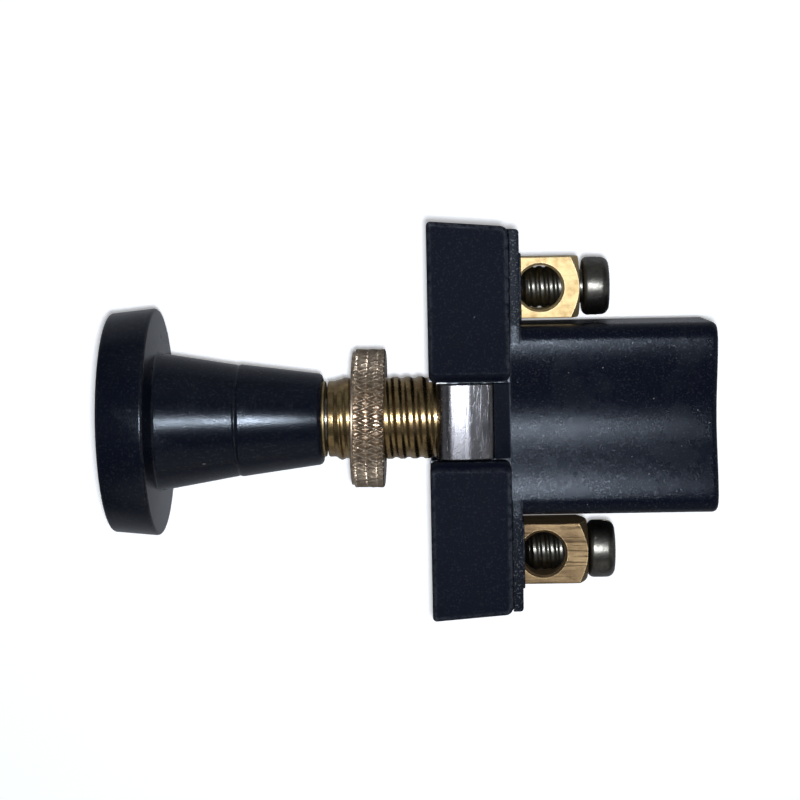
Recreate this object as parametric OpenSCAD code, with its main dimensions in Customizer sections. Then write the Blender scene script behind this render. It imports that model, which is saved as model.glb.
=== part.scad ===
// Panel-mounted pull switch: a knob on a rod slides through a threaded bush and closes two contacts.
// +X runs from the knob into the body, and X = 0 is the face that seats on the back of the panel.

/* [Knob] */
// Diameter of the rim at its front face
rim_front_d = 26.6; // [20:0.1:30]
// Diameter of the rim at its rear edge
rim_rear_d = 27.7; // [21:0.1:31]
// Thickness of the rim
rim_t = 5.6; // [3:0.1:8]
// Diameter of the stem where it leaves the rim
stem_root_d = 16.2; // [14:0.1:19]
// Diameter of the stem at the witness groove
stem_mid_d = 13.5; // [12.4:0.1:13.9]
// Diameter of the stem at its rear end
stem_end_d = 11; // [10:0.1:12.2]
// Length of the stem behind the rim
stem_l = 20; // [16:0.5:26]
// Distance of the witness groove behind the rim
groove_from_rim = 9.8; // [6:0.1:12]
// Depth of the witness groove
groove_depth = 0.15; // [0.05:0.05:0.3]
// Rounding of the stem's rear end
stem_end_r = 0.6; // [0.2:0.1:0.8]
// Diameter of the moulded-in brass insert
insert_d = 7.6; // [7:0.1:8.4]
// Length of the insert
insert_l = 12; // [8:0.5:14]
// Diameter of the insert's end flange
insert_flange_d = 9.2; // [8.6:0.1:9.6]
// Thickness of the insert's end flange
insert_flange_t = 0.35; // [0.2:0.05:0.8]

/* [Plunger] */
// Diameter of the sliding rod
rod_d = 5; // [4.4:0.1:5.6]
// Diameter of the rod where the contact carrier sits on it
rod_tail_d = 3.8; // [3.2:0.1:4]
// Pull of the knob from off to on
travel = 9.2; // [7:0.1:9.6]
// Outer diameter of the contact carrier
carrier_d = 7.2; // [6.6:0.1:7.2]
// Length of the contact carrier
carrier_l = 13.2; // [12:0.1:14]
// Width of the contact ring
ring_w = 3.6; // [3:0.1:4]
// Depth of the contact ring in the carrier
ring_t = 0.8; // [0.5:0.1:1]
// Thickness of the washer behind the carrier
rod_washer_t = 0.5; // [0.3:0.1:0.6]
// Thickness of the retaining clip
clip_t = 0.6; // [0.4:0.1:0.7]
// Outer diameter of the retaining clip and its washer
clip_d = 6.4; // [5.6:0.1:7]
// Wire diameter of the detent spring
detent_wire_d = 0.7; // [0.5:0.05:0.8]

/* [Bush] */
// Major diameter of the bush thread
bush_d = 10; // [9:0.1:11]
// Length of the bush in front of the panel seat
bush_l = 12.3; // [10:0.1:16]
// Diameter of the undercut at the bush's front end
bush_tip_d = 9.2; // [8:0.1:9.6]
// Length of the undercut
bush_tip_l = 0.7; // [0.3:0.1:1.2]
// Width of the flange behind the strap, across its round sides
flange_d = 13; // [12:0.1:14]
// Thickness of the flange
flange_t = 1.2; // [0.8:0.1:1.6]

/* [Nut] */
// Outer diameter of the knurled nut
nut_d = 17; // [14:0.1:22]
// Width of the nut
nut_w = 4; // [3:0.1:5]
// Clear distance between the nut and the panel seat
nut_gap = 5.4; // [4.8:0.1:6.4]
// Chamfer of the nut's outer edges
nut_chamfer = 0.4; // [0.2:0.05:0.8]

/* [Strap] */
// Width of the strap
strap_w = 9; // [8:0.1:10.5]
// Thickness of the strap
strap_t = 1.2; // [1:0.05:1.4]
// Diameter of the strap's round eye, behind which the bush's flange sits
eye_d = 13; // [12:0.1:14]
// Width of the hooks at the strap's two ends
hook_w = 6; // [4:0.1:7]
// Depth of the strap's front face behind the panel seat
strap_recess = 0.9; // [0.6:0.1:1.3]
// Place where the strap ends, behind the panel seat
strap_end = 7.7; // [7.2:0.1:8.4]
// Depth of the strap's crest below the top of the crossbar
strap_drop = 0.8; // [0.5:0.1:1.4]
// Length of the strap's crest behind its front face
strap_crest = 3.5; // [2.9:0.1:4.5]
// Fall of the strap's top from its crest to its end
strap_fall = 0.55; // [0.1:0.05:0.6]
// Outer radius of the strap's bend
bend_r = 2.1; // [1.8:0.1:2.8]

/* [Front housing] */
// Width of the crossbar at its front face
bar_w = 47.4; // [45:0.2:57]
// Depth of the crossbar, front to back
bar_l = 9.6; // [9.2:0.1:11.6]
// Height of the crossbar
bar_h = 16; // [15.8:0.2:22]
// Slope of the crossbar's two ends
bar_draft = 4.5; // [0:0.5:6]
// Flare of the strap's notch at the crossbar's top, on each side
notch_flare = 0.9; // [0.2:0.1:1.2]
// Rounding of the crossbar's corners
bar_corner_r = 0.5; // [0.2:0.1:0.9]

/* [Rear housing] */
// Thickness of the rear housing's flange
plate_t = 1.2; // [1:0.1:2]
// Step from the crossbar in to the flange, all round
plate_step = 0.35; // [0.1:0.05:0.6]
// Length of the rear block behind the flange
block_l = 23.2; // [22.6:0.1:30]
// Width of the rear block
block_w = 22.6; // [19:0.2:23]
// Height of the rear block over its ridges
block_h = 15; // [13.6:0.2:15.4]
// Radius of the rear block's long edges
ridge_r = 2.1; // [1.8:0.1:3.4]
// Depth of the trough between the ridges
trough_depth = 1.6; // [0.4:0.1:1.8]
// Rounding of the rear block's corners
block_corner_r = 0.7; // [0.3:0.1:1.5]
// Width of the space inside for the contacts
cavity_w = 11.4; // [11:0.1:12.4]
// Height of the space inside for the contacts
cavity_h = 7.8; // [7.8:0.1:8]

/* [Terminals] */
// Distance of the left terminal from the centre line
terminal_y_left = 15.6; // [15.1:0.1:17]
// Distance of the right terminal from the centre line
terminal_y_right = 16.4; // [15.1:0.1:17]
// Side of the square terminal bar
terminal_w = 7.3; // [6.6:0.1:7.4]
// Length of the left terminal bar behind the flange
terminal_l_left = 7.3; // [6.8:0.1:9]
// Length of the right terminal bar behind the flange
terminal_l_right = 8; // [6.8:0.1:9]
// Thickness of the pad round each terminal bar
pad_t = 0.35; // [0.1:0.05:0.6]
// Diameter of the wire hole
wire_hole_d = 5.3; // [4:0.1:5.4]
// Distance of the wire hole behind the flange
wire_hole_from_plate = 2.6; // [2.6:0.1:3]
// Major diameter of the clamping screw
screw_d = 5; // [4:0.1:5]
// Length of the screw below its head
screw_l = 7.6; // [7:0.1:7.8]
// Diameter of the screw head
head_d = 7; // [6:0.1:7.6]
// Height of the screw head
head_h = 3.2; // [2:0.1:3.6]
// Gap under the left screw head
screw_gap_left = 0.4; // [0.1:0.1:1.2]
// Gap under the right screw head
screw_gap_right = 0.1; // [0.1:0.1:1.2]
// Width of the screwdriver slot
slot_w = 1.2; // [0.8:0.1:1.6]
// Depth of the screwdriver slot
slot_depth = 1.4; // [0.8:0.1:1.8]
// Thickness of the contact finger
finger_t = 0.6; // [0.4:0.05:0.7]
// Width of the contact finger
finger_w = 5; // [4:0.1:6]
// Diameter of the contact tip
tip_d = 2.8; // [2:0.1:3.4]

/* [Fits] */
// Radial running clearance of the rod in the bush
rod_clearance = 0.05; // [0.02:0.01:0.1]
// Radial running clearance of the threads
thread_clearance = 0.05; // [0.02:0.01:0.1]
// Air gap between moving and fixed pieces
air_gap = 0.3; // [0.2:0.05:0.4]
// Gap between the contact tips and the carrier
tip_gap = 0.15; // [0.1:0.05:0.2]
// Clearance of each loose piece in its pocket
seat_clearance = 0.1; // [0.05:0.01:0.2]

/* [Hidden] */
$fn = 96;
eps = 0.01;
arc_steps = 6;

// Knob, from the bush forwards
insert_rear = -bush_l - air_gap;
stem_rear = insert_rear - insert_flange_t;
rim_rear = stem_rear - stem_l;
rim_front = rim_rear - rim_t;
insert_front = stem_rear - insert_l;

// Strap and bush flange, from the panel seat backwards
web_rear = strap_recess + strap_t;
flange_rear = web_rear + flange_t;
channel_w = strap_w + 4 * seat_clearance;
strap_top = bar_h / 2 - strap_drop;
bend_start = strap_top - bend_r;
tongue_top = strap_top - strap_t - strap_fall;
tongue_bottom = cavity_h / 2 + 1;
tongue_t = tongue_top - tongue_bottom;
tongue_front = flange_rear + seat_clearance;

// Detent and stop, inside the front housing
detent_x = flange_rear + 3;
guide_rear = detent_x + detent_wire_d / 2 + seat_clearance;
detent_pocket_front = detent_x - detent_wire_d / 2 - seat_clearance;
detent_depth = 0.35;
detent_leg = rod_d / 2 + tip_gap + detent_wire_d / 2;
detent_pocket = 2 * detent_leg + detent_wire_d + 2 * seat_clearance;
stop_t = 0.8;
stop_rear = guide_rear + stop_t;
stop_d = cavity_h - 6 * seat_clearance;

// Carrier, behind the stop by the travel
carrier_front = stop_rear + air_gap + travel;
carrier_rear = carrier_front + carrier_l;
ring_rear = carrier_rear - 0.6;
ring_front = ring_rear - ring_w;
clip_front = carrier_rear + rod_washer_t;
rod_rear = clip_front + clip_t + 0.6;
clip_groove_d = rod_tail_d - 0.8;

// Rear housing
plate_rear = bar_l + plate_t;
block_rear = plate_rear + block_l;
cavity_rear = rod_rear + air_gap;

// Contacts and terminals
tip_x = ring_front + ring_w / 2 - travel;
finger_y = cavity_w / 2 - seat_clearance / 2 - finger_t;
finger_rear = tip_x + tip_d / 2 + 0.3;
tip_shank_d = tip_d / 2;
terminal_front = bar_l - 1.1;
finger_front = terminal_front - finger_t;
tail_d = 3;
tail_head_d = 4.2;
tail_head_t = 0.5;
pocket_front = finger_front - tail_head_t - seat_clearance;
wire_x = plate_rear + wire_hole_from_plate;
tapped_front = wire_x - wire_hole_d / 2 - 0.9;
end_face_r = terminal_w / 2 - 0.1;
bar_corner = terminal_w;
pad_border = 0.4;

function arc(centre, r, from, to) =
    [for (i = [0:arc_steps])
        let (a = from + (to - from) * i / arc_steps) centre + r * [cos(a), sin(a)]];

// Outline with four rounded corners: front half-width, rear half-width, start and end along X
function drafted(front, rear, x0, x1, r) = concat(
    arc([x0 + r, r - front], r, 180, 270), arc([x1 - r, r - rear], r, 270, 360),
    arc([x1 - r, rear - r], r, 0, 90), arc([x0 + r, front - r], r, 90, 180));

// Half of the rear block's section, from the trough's middle over the ridge to the block's side
function ridge_half(w, h) = concat(
    [for (i = [0:2 * arc_steps])
        let (f = i / (2 * arc_steps)) [f * (w - ridge_r), h - trough_depth * (1 + cos(180 * f)) / 2]],
    arc([w - ridge_r, h - ridge_r], ridge_r, 75, 0));

function block_section(w, h) =
    let (half = ridge_half(w, h), n = len(half) - 1)
    concat(half, [for (i = [n:-1:0]) [half[i][0], -half[i][1]]],
        [for (p = half) [-p[0], -p[1]]], [for (i = [n:-1:0]) [-half[i][0], half[i][1]]]);

// Solid of revolution on the X axis: each point is [radius, x]
module turned(points) {
    rotate([0, 90, 0]) rotate_extrude() polygon(points);
}

module rod_x(d, x0, x1) {
    translate([x0, 0, 0]) rotate([0, 90, 0]) cylinder(d = d, h = x1 - x0);
}

module tube_x(outer, inner, x0, x1) {
    difference() {
        rod_x(outer, x0, x1);
        rod_x(inner, x0 - 1, x1 + 1);
    }
}

// Box centred on the X axis
module box_x(w, h, x0, x1) {
    translate([x0, -w / 2, -h / 2]) cube([x1 - x0, w, h]);
}

// One terminal's pieces, mirrored to the right-hand side
module at_side(side) {
    if (side > 0) children(); else mirror([0, 1, 0]) children();
}

function terminal_y(side) = side > 0 ? terminal_y_left : terminal_y_right;
function screw_gap(side) = side > 0 ? screw_gap_left : screw_gap_right;
function terminal_rear(side) = plate_rear + (side > 0 ? terminal_l_left : terminal_l_right);

module knob() {
    rim_edge_r = 0.3;
    groove_x = rim_rear + groove_from_rim;
    color([0.09, 0.1, 0.13]) difference() {
        turned(concat(
            [[0, rim_front]],
            arc([rim_front_d / 2 - rim_edge_r, rim_front + rim_edge_r], rim_edge_r, -90, 0),
            arc([rim_rear_d / 2 - rim_edge_r, rim_rear - rim_edge_r], rim_edge_r, 0, 90),
            [[stem_root_d / 2 + 0.35, rim_rear], [stem_root_d / 2, rim_rear + 0.35],
                [stem_mid_d / 2 + groove_depth, groove_x - groove_depth],
                [stem_mid_d / 2 - groove_depth / 2, groove_x],
                [stem_mid_d / 2 + groove_depth / 2, groove_x + groove_depth]],
            arc([stem_end_d / 2 - stem_end_r, stem_rear - stem_end_r], stem_end_r, 0, 90),
            [[0, stem_rear]]));
        rod_x(insert_d, insert_front, stem_rear + 1);
    }
}

module knob_insert() {
    color([0.72, 0.6, 0.36]) difference() {
        union() {
            rod_x(insert_d, insert_front, stem_rear);
            rod_x(insert_flange_d, stem_rear, insert_rear);
        }
        rod_x(rod_d, insert_front + 1, insert_rear + 1);
    }
}

module plunger_rod() {
    color([0.7, 0.7, 0.68]) difference() {
        union() {
            rod_x(rod_d, insert_front + 1, carrier_front);
            rod_x(rod_tail_d, carrier_front, rod_rear);
        }
        for (x = [detent_x, detent_x + travel])
            tube_x(rod_d + 1, rod_d - 2 * detent_depth, x - detent_wire_d / 2, x + detent_wire_d / 2);
        tube_x(rod_tail_d + 1, clip_groove_d, clip_front, clip_front + clip_t);
    }
}

module contact_carrier() {
    color([0.45, 0.3, 0.18]) difference() {
        tube_x(carrier_d, rod_tail_d, carrier_front, carrier_rear);
        tube_x(carrier_d + 1, carrier_d - 2 * ring_t, ring_front, ring_rear);
    }
}

module contact_ring() {
    color([0.78, 0.62, 0.3]) tube_x(carrier_d, carrier_d - 2 * ring_t, ring_front, ring_rear);
}

module rod_washer() {
    color([0.7, 0.7, 0.68]) tube_x(clip_d, rod_tail_d, carrier_rear, clip_front);
}

module rod_clip() {
    color([0.5, 0.5, 0.5]) difference() {
        tube_x(clip_d, clip_groove_d, clip_front, clip_front + clip_t);
        translate([clip_front - 1, -clip_groove_d / 2, 0])
            cube([clip_t + 2, clip_groove_d, clip_d]);
    }
}

module bush() {
    color([0.66, 0.52, 0.25]) difference() {
        union() {
            rod_x(bush_tip_d, -bush_l, -bush_l + bush_tip_l);
            rod_x(bush_d, -bush_l + bush_tip_l, web_rear);
            intersection() {
                rod_x(flange_d, web_rear, flange_rear);
                box_x(flange_d, 2 * bend_start, web_rear, flange_rear);
            }
        }
        rod_x(rod_d + 2 * rod_clearance, -bush_l - 1, flange_rear + 1);
    }
}

module panel_nut() {
    front = -nut_gap - nut_w;
    bore_r = bush_d / 2 + thread_clearance;
    color([0.7, 0.56, 0.36])
        turned([[bore_r, front], [nut_d / 2 - nut_chamfer, front], [nut_d / 2, front + nut_chamfer],
            [nut_d / 2, -nut_gap - nut_chamfer], [nut_d / 2 - nut_chamfer, -nut_gap],
            [bore_r, -nut_gap]]);
}

// Half of the strap's side view, above the X axis: web, bend, leg and hook
function strap_half() =
    let (end_top = strap_top - strap_fall, bend_x = strap_recess + bend_r, hook_x = strap_end - strap_t)
    concat([[strap_recess, 0]],
        arc([bend_x, bend_start], bend_r, 180, 90),
        [[strap_recess + strap_crest, strap_top]],
        arc([hook_x, end_top - strap_t], strap_t, 80, 0),
        [[strap_end, tongue_bottom + seat_clearance], [hook_x, tongue_bottom + seat_clearance],
            [hook_x, end_top - strap_t], [strap_recess + strap_crest, strap_top - strap_t]],
        arc([bend_x, bend_start], bend_r - strap_t, 90, 180),
        [[web_rear, 0]]);

module strap() {
    color([0.6, 0.58, 0.52]) difference() {
        union() {
            for (side = [0, 1])
                mirror([0, 0, side]) translate([0, strap_w / 2, 0]) rotate([90, 0, 0])
                    linear_extrude(strap_w) polygon(strap_half());
            intersection() {
                rod_x(eye_d, strap_recess, web_rear);
                box_x(eye_d, 2 * bend_start, strap_recess, web_rear);
            }
        }
        rod_x(bush_d, strap_recess - 1, web_rear + 2);
        // The hooks are narrower than the legs
        for (side = [0, 1], edge = [0, 1])
            mirror([0, 0, side]) mirror([0, edge, 0])
                translate([tongue_front + strap_t, hook_w / 2, tongue_bottom - 1])
                    cube([strap_end, strap_w, tongue_t + 1]);
    }
}

module front_housing() {
    rear_w = bar_w - 2 * bar_l * tan(bar_draft);
    color([0.1, 0.11, 0.15]) difference() {
        intersection() {
            translate([0, 0, -bar_h / 2]) linear_extrude(bar_h)
                polygon(drafted(bar_w / 2, rear_w / 2, 0, bar_l, bar_corner_r));
            translate([0, bar_w, 0]) rotate([90, 0, 0]) linear_extrude(2 * bar_w)
                polygon(drafted(bar_h / 2, bar_h / 2, 0, bar_l, bar_corner_r));
        }
        // Channel for the strap's web, and the notches for its legs
        box_x(channel_w, bar_h + 2, -1, web_rear);
        for (side = [0, 1]) mirror([0, 0, side]) strap_notch();
        // Counterbore for the flange, guide hole for the rod and pocket for the detent spring
        rod_x(flange_d + 2 * seat_clearance, -1, flange_rear);
        rod_x(rod_d + 2 * air_gap, flange_rear - 1, bar_l);
        box_x(detent_pocket, detent_pocket, detent_pocket_front, guide_rear + eps);
        // Space for the moving contacts, and the pockets for the terminals
        box_x(cavity_w, cavity_h, guide_rear, bar_l + 1);
        for (side = [1, -1]) at_side(side)
            terminal_pocket(terminal_y(side), pocket_front, bar_l + 1);
    }
}

// Notch right through the crossbar, with sides that flare above the strap
module strap_notch() {
    w = channel_w / 2;
    top = bar_h / 2;
    translate([-1, 0, 0]) rotate([90, 0, 90]) linear_extrude(bar_l + 2)
        polygon([[-w, tongue_bottom], [w, tongue_bottom], [w, strap_top], [w + notch_flare, top],
            [w + notch_flare, top + 1], [-w - notch_flare, top + 1], [-w - notch_flare, top],
            [-w, strap_top]]);
}

module terminal_pocket(y, x0, x1) {
    h = terminal_w + 2 * seat_clearance;
    translate([x0, cavity_w / 2 - 1, -h / 2]) cube([x1 - x0, y + h / 2 - cavity_w / 2 + 1, h]);
}

module rear_housing() {
    plate_w = bar_w - 2 * bar_l * tan(bar_draft) - 2 * plate_step;
    plate_h = bar_h - 2 * plate_step;
    hole = terminal_w + 2 * seat_clearance;
    pad_w = hole + 2 * pad_border;
    tongue_w = strap_w;
    window_w = hook_w + 2 * seat_clearance;
    color([0.09, 0.1, 0.14]) difference() {
        union() {
            difference() {
                translate([0, 0, -plate_h / 2]) linear_extrude(plate_h)
                    polygon(drafted(plate_w / 2, plate_w / 2, bar_l, plate_rear, plate_t / 3));
                // Between the ridges the flange drops to the bottom of the trough
                for (side = [0, 1]) mirror([0, 0, side])
                    translate([bar_l - 1, ridge_r - block_w / 2, block_h / 2 - trough_depth])
                        cube([plate_t + 2, block_w - 2 * ridge_r, bar_h]);
            }
            for (side = [1, -1]) at_side(side)
                translate([plate_rear - eps, terminal_y(side) - pad_w / 2, -pad_w / 2])
                    cube([pad_t + eps, pad_w, pad_w]);
            rear_block();
            for (side = [0, 1]) mirror([0, 0, side])
                translate([tongue_front, -tongue_w / 2, tongue_bottom])
                    cube([bar_l - tongue_front + eps, tongue_w, tongue_t]);
        }
        box_x(cavity_w, cavity_h, bar_l - 1, cavity_rear);
        for (side = [1, -1]) at_side(side)
            translate([bar_l - 1, terminal_y(side) - hole / 2, -hole / 2])
                cube([plate_t + pad_t + 2, hole, hole]);
        // Windows that the strap's hooks catch in
        for (side = [0, 1]) mirror([0, 0, side])
            translate([strap_end - strap_t, -window_w / 2, tongue_bottom - 1])
                cube([strap_t, window_w, tongue_t + 2]);
    }
}

module rear_block() {
    intersection() {
        translate([bar_l, 0, 0]) rotate([90, 0, 90]) linear_extrude(block_rear - bar_l)
            polygon(block_section(block_w / 2, block_h / 2));
        translate([0, 0, -block_h]) linear_extrude(2 * block_h)
            polygon(drafted(block_w / 2, block_w / 2, 0, block_rear, block_corner_r));
        translate([0, block_w, 0]) rotate([90, 0, 0]) linear_extrude(2 * block_w)
            polygon(drafted(block_h / 2, block_h / 2, 0, block_rear, block_corner_r));
    }
}

module stop_washer() {
    color([0.55, 0.32, 0.2]) tube_x(stop_d - 2 * seat_clearance, rod_d + air_gap, guide_rear, stop_rear);
}

// Hairpin with a leg on each side of the rod, lying over the rod's groove
module detent_spring() {
    leg = detent_leg;
    color([0.5, 0.5, 0.5]) translate([detent_x, 0, 0]) {
        for (side = [-1, 1]) translate([0, 0, side * leg]) {
            translate([0, leg, 0]) rotate([90, 0, 0]) cylinder(d = detent_wire_d, h = 2 * leg);
            translate([0, -leg, 0]) sphere(d = detent_wire_d);
        }
        translate([0, -leg, -leg]) cylinder(d = detent_wire_d, h = 2 * leg);
    }
}

module contact_finger(side) {
    y_out = terminal_y(side) + terminal_w / 2 - 0.6;
    color([0.78, 0.6, 0.32]) at_side(side) difference() {
        union() {
            translate([finger_front, finger_y, -finger_w / 2])
                cube([finger_t, y_out - finger_y, finger_w]);
            translate([finger_front, finger_y, -finger_w / 2])
                cube([finger_rear - finger_front, finger_t, finger_w]);
        }
        translate([0, terminal_y(side), 0]) rod_x(tail_d, finger_front - 1, terminal_front + 1);
        translate([tip_x, finger_y - 1, 0]) rotate([-90, 0, 0]) cylinder(d = tip_shank_d, h = finger_t + 2);
    }
}

module contact_tip(side) {
    face_y = carrier_d / 2 + tip_gap;
    head = finger_y - face_y;
    color([0.8, 0.8, 0.78]) at_side(side) translate([tip_x, face_y, 0]) rotate([-90, 0, 0]) {
        cylinder(d1 = tip_d - 0.6, d2 = tip_d, h = 0.3);
        translate([0, 0, 0.3 - eps]) cylinder(d = tip_d, h = head - 0.3 + eps);
        translate([0, 0, head - eps]) cylinder(d = tip_shank_d, h = finger_t + eps);
    }
}

// Square bar with a turned end, a wire hole across it and a tapped hole along it
module terminal_block(side) {
    rear = terminal_rear(side);
    color([0.85, 0.7, 0.42]) at_side(side) translate([0, terminal_y(side), 0]) {
        difference() {
            intersection() {
                box_x(terminal_w, terminal_w, terminal_front, rear);
                turned([[0, terminal_front], [bar_corner, terminal_front],
                    [bar_corner, rear - (bar_corner - end_face_r)], [end_face_r, rear], [0, rear]]);
            }
            translate([wire_x, 0, 0]) cylinder(d = wire_hole_d, h = 2 * terminal_w, center = true);
            rod_x(screw_d + 2 * thread_clearance, tapped_front, rear + 1);
        }
        rod_x(tail_d, finger_front, terminal_front + eps);
        rod_x(tail_head_d, finger_front - tail_head_t, finger_front);
    }
}

module terminal_screw(side) {
    head_front = terminal_rear(side) + screw_gap(side);
    head_rear = head_front + head_h;
    edge_r = 1;
    neck_d = screw_d - 0.9;
    color([0.36, 0.36, 0.32]) at_side(side) translate([0, terminal_y(side), 0]) difference() {
        turned(concat(
            [[0, head_front - screw_l], [screw_d / 2 - 0.4, head_front - screw_l],
                [screw_d / 2, head_front - screw_l + 0.4], [screw_d / 2, head_front - 0.8],
                [neck_d / 2, head_front - 0.6], [neck_d / 2, head_front],
                [head_d / 2 - 0.2, head_front], [head_d / 2, head_front + 0.2]],
            arc([head_d / 2 - edge_r, head_rear - edge_r], edge_r, 0, 90),
            [[0, head_rear]]));
        translate([head_rear - slot_depth, -head_d, -slot_w / 2]) cube([slot_depth + 1, 2 * head_d, slot_w]);
    }
}

knob();
knob_insert();
plunger_rod();
contact_carrier();
contact_ring();
rod_washer();
rod_clip();
bush();
panel_nut();
strap();
front_housing();
rear_housing();
stop_washer();
detent_spring();
contact_finger(1);  // contact_finger_left
contact_finger(-1);  // contact_finger_right
contact_tip(1);  // contact_tip_left
contact_tip(-1);  // contact_tip_right
terminal_block(1);  // terminal_block_left
terminal_block(-1);  // terminal_block_right
terminal_screw(1);  // terminal_screw_left
terminal_screw(-1);  // terminal_screw_right
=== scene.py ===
import math
import bpy, bmesh
from mathutils import Matrix, Vector


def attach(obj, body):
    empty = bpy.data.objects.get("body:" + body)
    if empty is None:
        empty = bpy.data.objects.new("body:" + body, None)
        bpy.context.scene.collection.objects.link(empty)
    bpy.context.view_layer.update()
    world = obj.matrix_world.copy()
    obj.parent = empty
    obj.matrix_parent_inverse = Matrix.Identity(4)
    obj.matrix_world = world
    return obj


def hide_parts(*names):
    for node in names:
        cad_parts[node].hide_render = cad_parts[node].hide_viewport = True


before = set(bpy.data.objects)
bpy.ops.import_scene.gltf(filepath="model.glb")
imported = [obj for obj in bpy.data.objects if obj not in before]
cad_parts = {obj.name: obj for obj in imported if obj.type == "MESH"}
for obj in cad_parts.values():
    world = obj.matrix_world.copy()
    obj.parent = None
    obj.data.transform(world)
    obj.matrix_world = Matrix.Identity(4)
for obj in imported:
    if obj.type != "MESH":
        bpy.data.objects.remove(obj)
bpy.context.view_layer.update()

# Sizes below are in millimetres; every finished mesh is brought down to metres once.
mm = 0.001

# camera, floor and light
stageValues = {
    "cameraPlace": (2.92, 23.55, 235.0),
    "cameraTilt": 5.2,
    "cameraRoll": -1.59,
    "cameraTurn": 1.13,
    "lens": 87.44,
    "floorLevel": -14.05,
    "floorColour": (0.94, 0.94, 0.95, 1),
    "floorReflected": (0.36, 0.36, 0.37, 1),
    "floorGlow": 0.34,
    "roomColour": (0.86, 0.93, 1.0, 1),
    "roomStrength": 0.07,
}
# name, place, size, power, colour; each one looks at the body's middle
lamps = [
    ("keyLamp", (6, 17, 240), 10, 0.5, (0.88, 0.93, 1.0)),
    ("leftLamp", (-420, 40, 170), 420, 0.12, (0.92, 0.96, 1.0)),
    ("rightLamp", (420, -40, 170), 420, 0.12, (0.95, 0.97, 1.0)),
    ("farLamp", (20, 420, 170), 420, 0.06, (0.92, 0.96, 1.0)),
    ("nearLamp", (0, -420, 170), 420, 0.12, (1.0, 0.98, 0.95)),
]


def setStage(v):
    scene = bpy.context.scene
    scene.view_settings.view_transform = "Standard"
    data = bpy.data.cameras.new("benchCamera")
    data.sensor_width, data.lens = 36, v["lens"]
    data.clip_start, data.clip_end = 0.01, 10
    camera = bpy.data.objects.new("benchCamera", data)
    turn = (Matrix.Rotation(math.radians(v["cameraTurn"]), 3, "Z")
            @ Matrix.Rotation(math.radians(v["cameraTilt"]), 3, "X")
            @ Matrix.Rotation(math.radians(v["cameraRoll"]), 3, "Y")).transposed()
    camera.matrix_world = Matrix.Translation(Vector(v["cameraPlace"]) * mm) @ turn.to_4x4()
    scene.collection.objects.link(camera)
    scene.camera = camera

    room = bpy.data.worlds.new("room")
    room.use_nodes = True
    back = room.node_tree.nodes["Background"]
    back.inputs["Color"].default_value = v["roomColour"]
    back.inputs["Strength"].default_value = v["roomStrength"]
    scene.world = room

    for name, place, size, power, colour in lamps:
        lamp = bpy.data.lights.new(name, "AREA")
        lamp.shape, lamp.size, lamp.energy, lamp.color = "DISK", size * mm, power, colour
        obj = bpy.data.objects.new(name, lamp)
        obj.location = Vector(place) * mm
        obj.rotation_euler = (Vector((2, 0, 0)) * mm - obj.location).to_track_quat("-Z", "Y").to_euler()
        scene.collection.objects.link(obj)


setStage(stageValues)
print("stage: camera, room and lamps set")


# mesh tools
def fillet(corners, steps=5):
    # corners: (x, y, radius) round a closed outline; returns points with each corner rounded
    points = []
    for i, (x, y, r) in enumerate(corners):
        here = Vector((x, y))
        before = Vector(corners[i - 1][:2]) - here
        after = Vector(corners[(i + 1) % len(corners)][:2]) - here
        if r <= 0 or before.length < 1e-9 or after.length < 1e-9:
            points.append((x, y))
            continue
        a, b = before.normalized(), after.normalized()
        half = a.angle(b) / 2
        if half > math.pi / 2 - 0.01:
            points.append((x, y))
            continue
        reach = min(r / math.tan(half), 0.49 * before.length, 0.49 * after.length)
        r = reach * math.tan(half)
        centre = here + (a + b).normalized() * (r / math.sin(half))
        start, end = here + a * reach - centre, here + b * reach - centre
        sweep = math.atan2(start.x * end.y - start.y * end.x, start.dot(end))
        for k in range(steps + 1):
            c, s = math.cos(sweep * k / steps), math.sin(sweep * k / steps)
            points.append((centre.x + start.x * c - start.y * s, centre.y + start.x * s + start.y * c))
    return points


def openFillet(corners, steps=5):
    # the same for an open line, which keeps its two ends
    first, last = corners[0][:2], corners[-1][:2]
    padded = [first + (0,)] + list(corners[1:-1]) + [last + (0,)]
    return [first] + fillet(padded, steps)[1:-1] + [last]


def cleaned(bm, merge=0.0004):
    bmesh.ops.remove_doubles(bm, verts=bm.verts, dist=merge)
    bmesh.ops.dissolve_degenerate(bm, dist=merge / 2, edges=bm.edges)
    bmesh.ops.recalc_face_normals(bm, faces=bm.faces)


def meshObject(name, bm):
    mesh = bpy.data.meshes.new(name)
    bm.to_mesh(mesh)
    bm.free()
    obj = bpy.data.objects.new(name, mesh)
    bpy.context.scene.collection.objects.link(obj)
    return obj


def ringsObject(name, rings, closedLoop=False, caps=True):
    # rings: lists of 3-D points, joined one to the next
    bm = bmesh.new()
    rows = [[bm.verts.new(p) for p in ring] for ring in rings]
    pairs = list(zip(rows, rows[1:])) + ([(rows[-1], rows[0])] if closedLoop else [])
    for a, b in pairs:
        n = len(a)
        for i in range(n):
            bm.faces.new((a[i], a[(i + 1) % n], b[(i + 1) % n], b[i]))
    if caps and not closedLoop:
        bm.faces.new(rows[0][::-1])
        bm.faces.new(rows[-1])
    cleaned(bm)
    return meshObject(name, bm)


def turned(name, profile, segments=160, closedLoop=False):
    # profile: (x, radius) points along the part, spun about the X axis
    angles = [2 * math.pi * k / segments for k in range(segments)]
    rings = [[(x, r * math.cos(a), r * math.sin(a)) for a in angles] for x, r in profile]
    return ringsObject(name, rings, closedLoop, caps=False)


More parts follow.
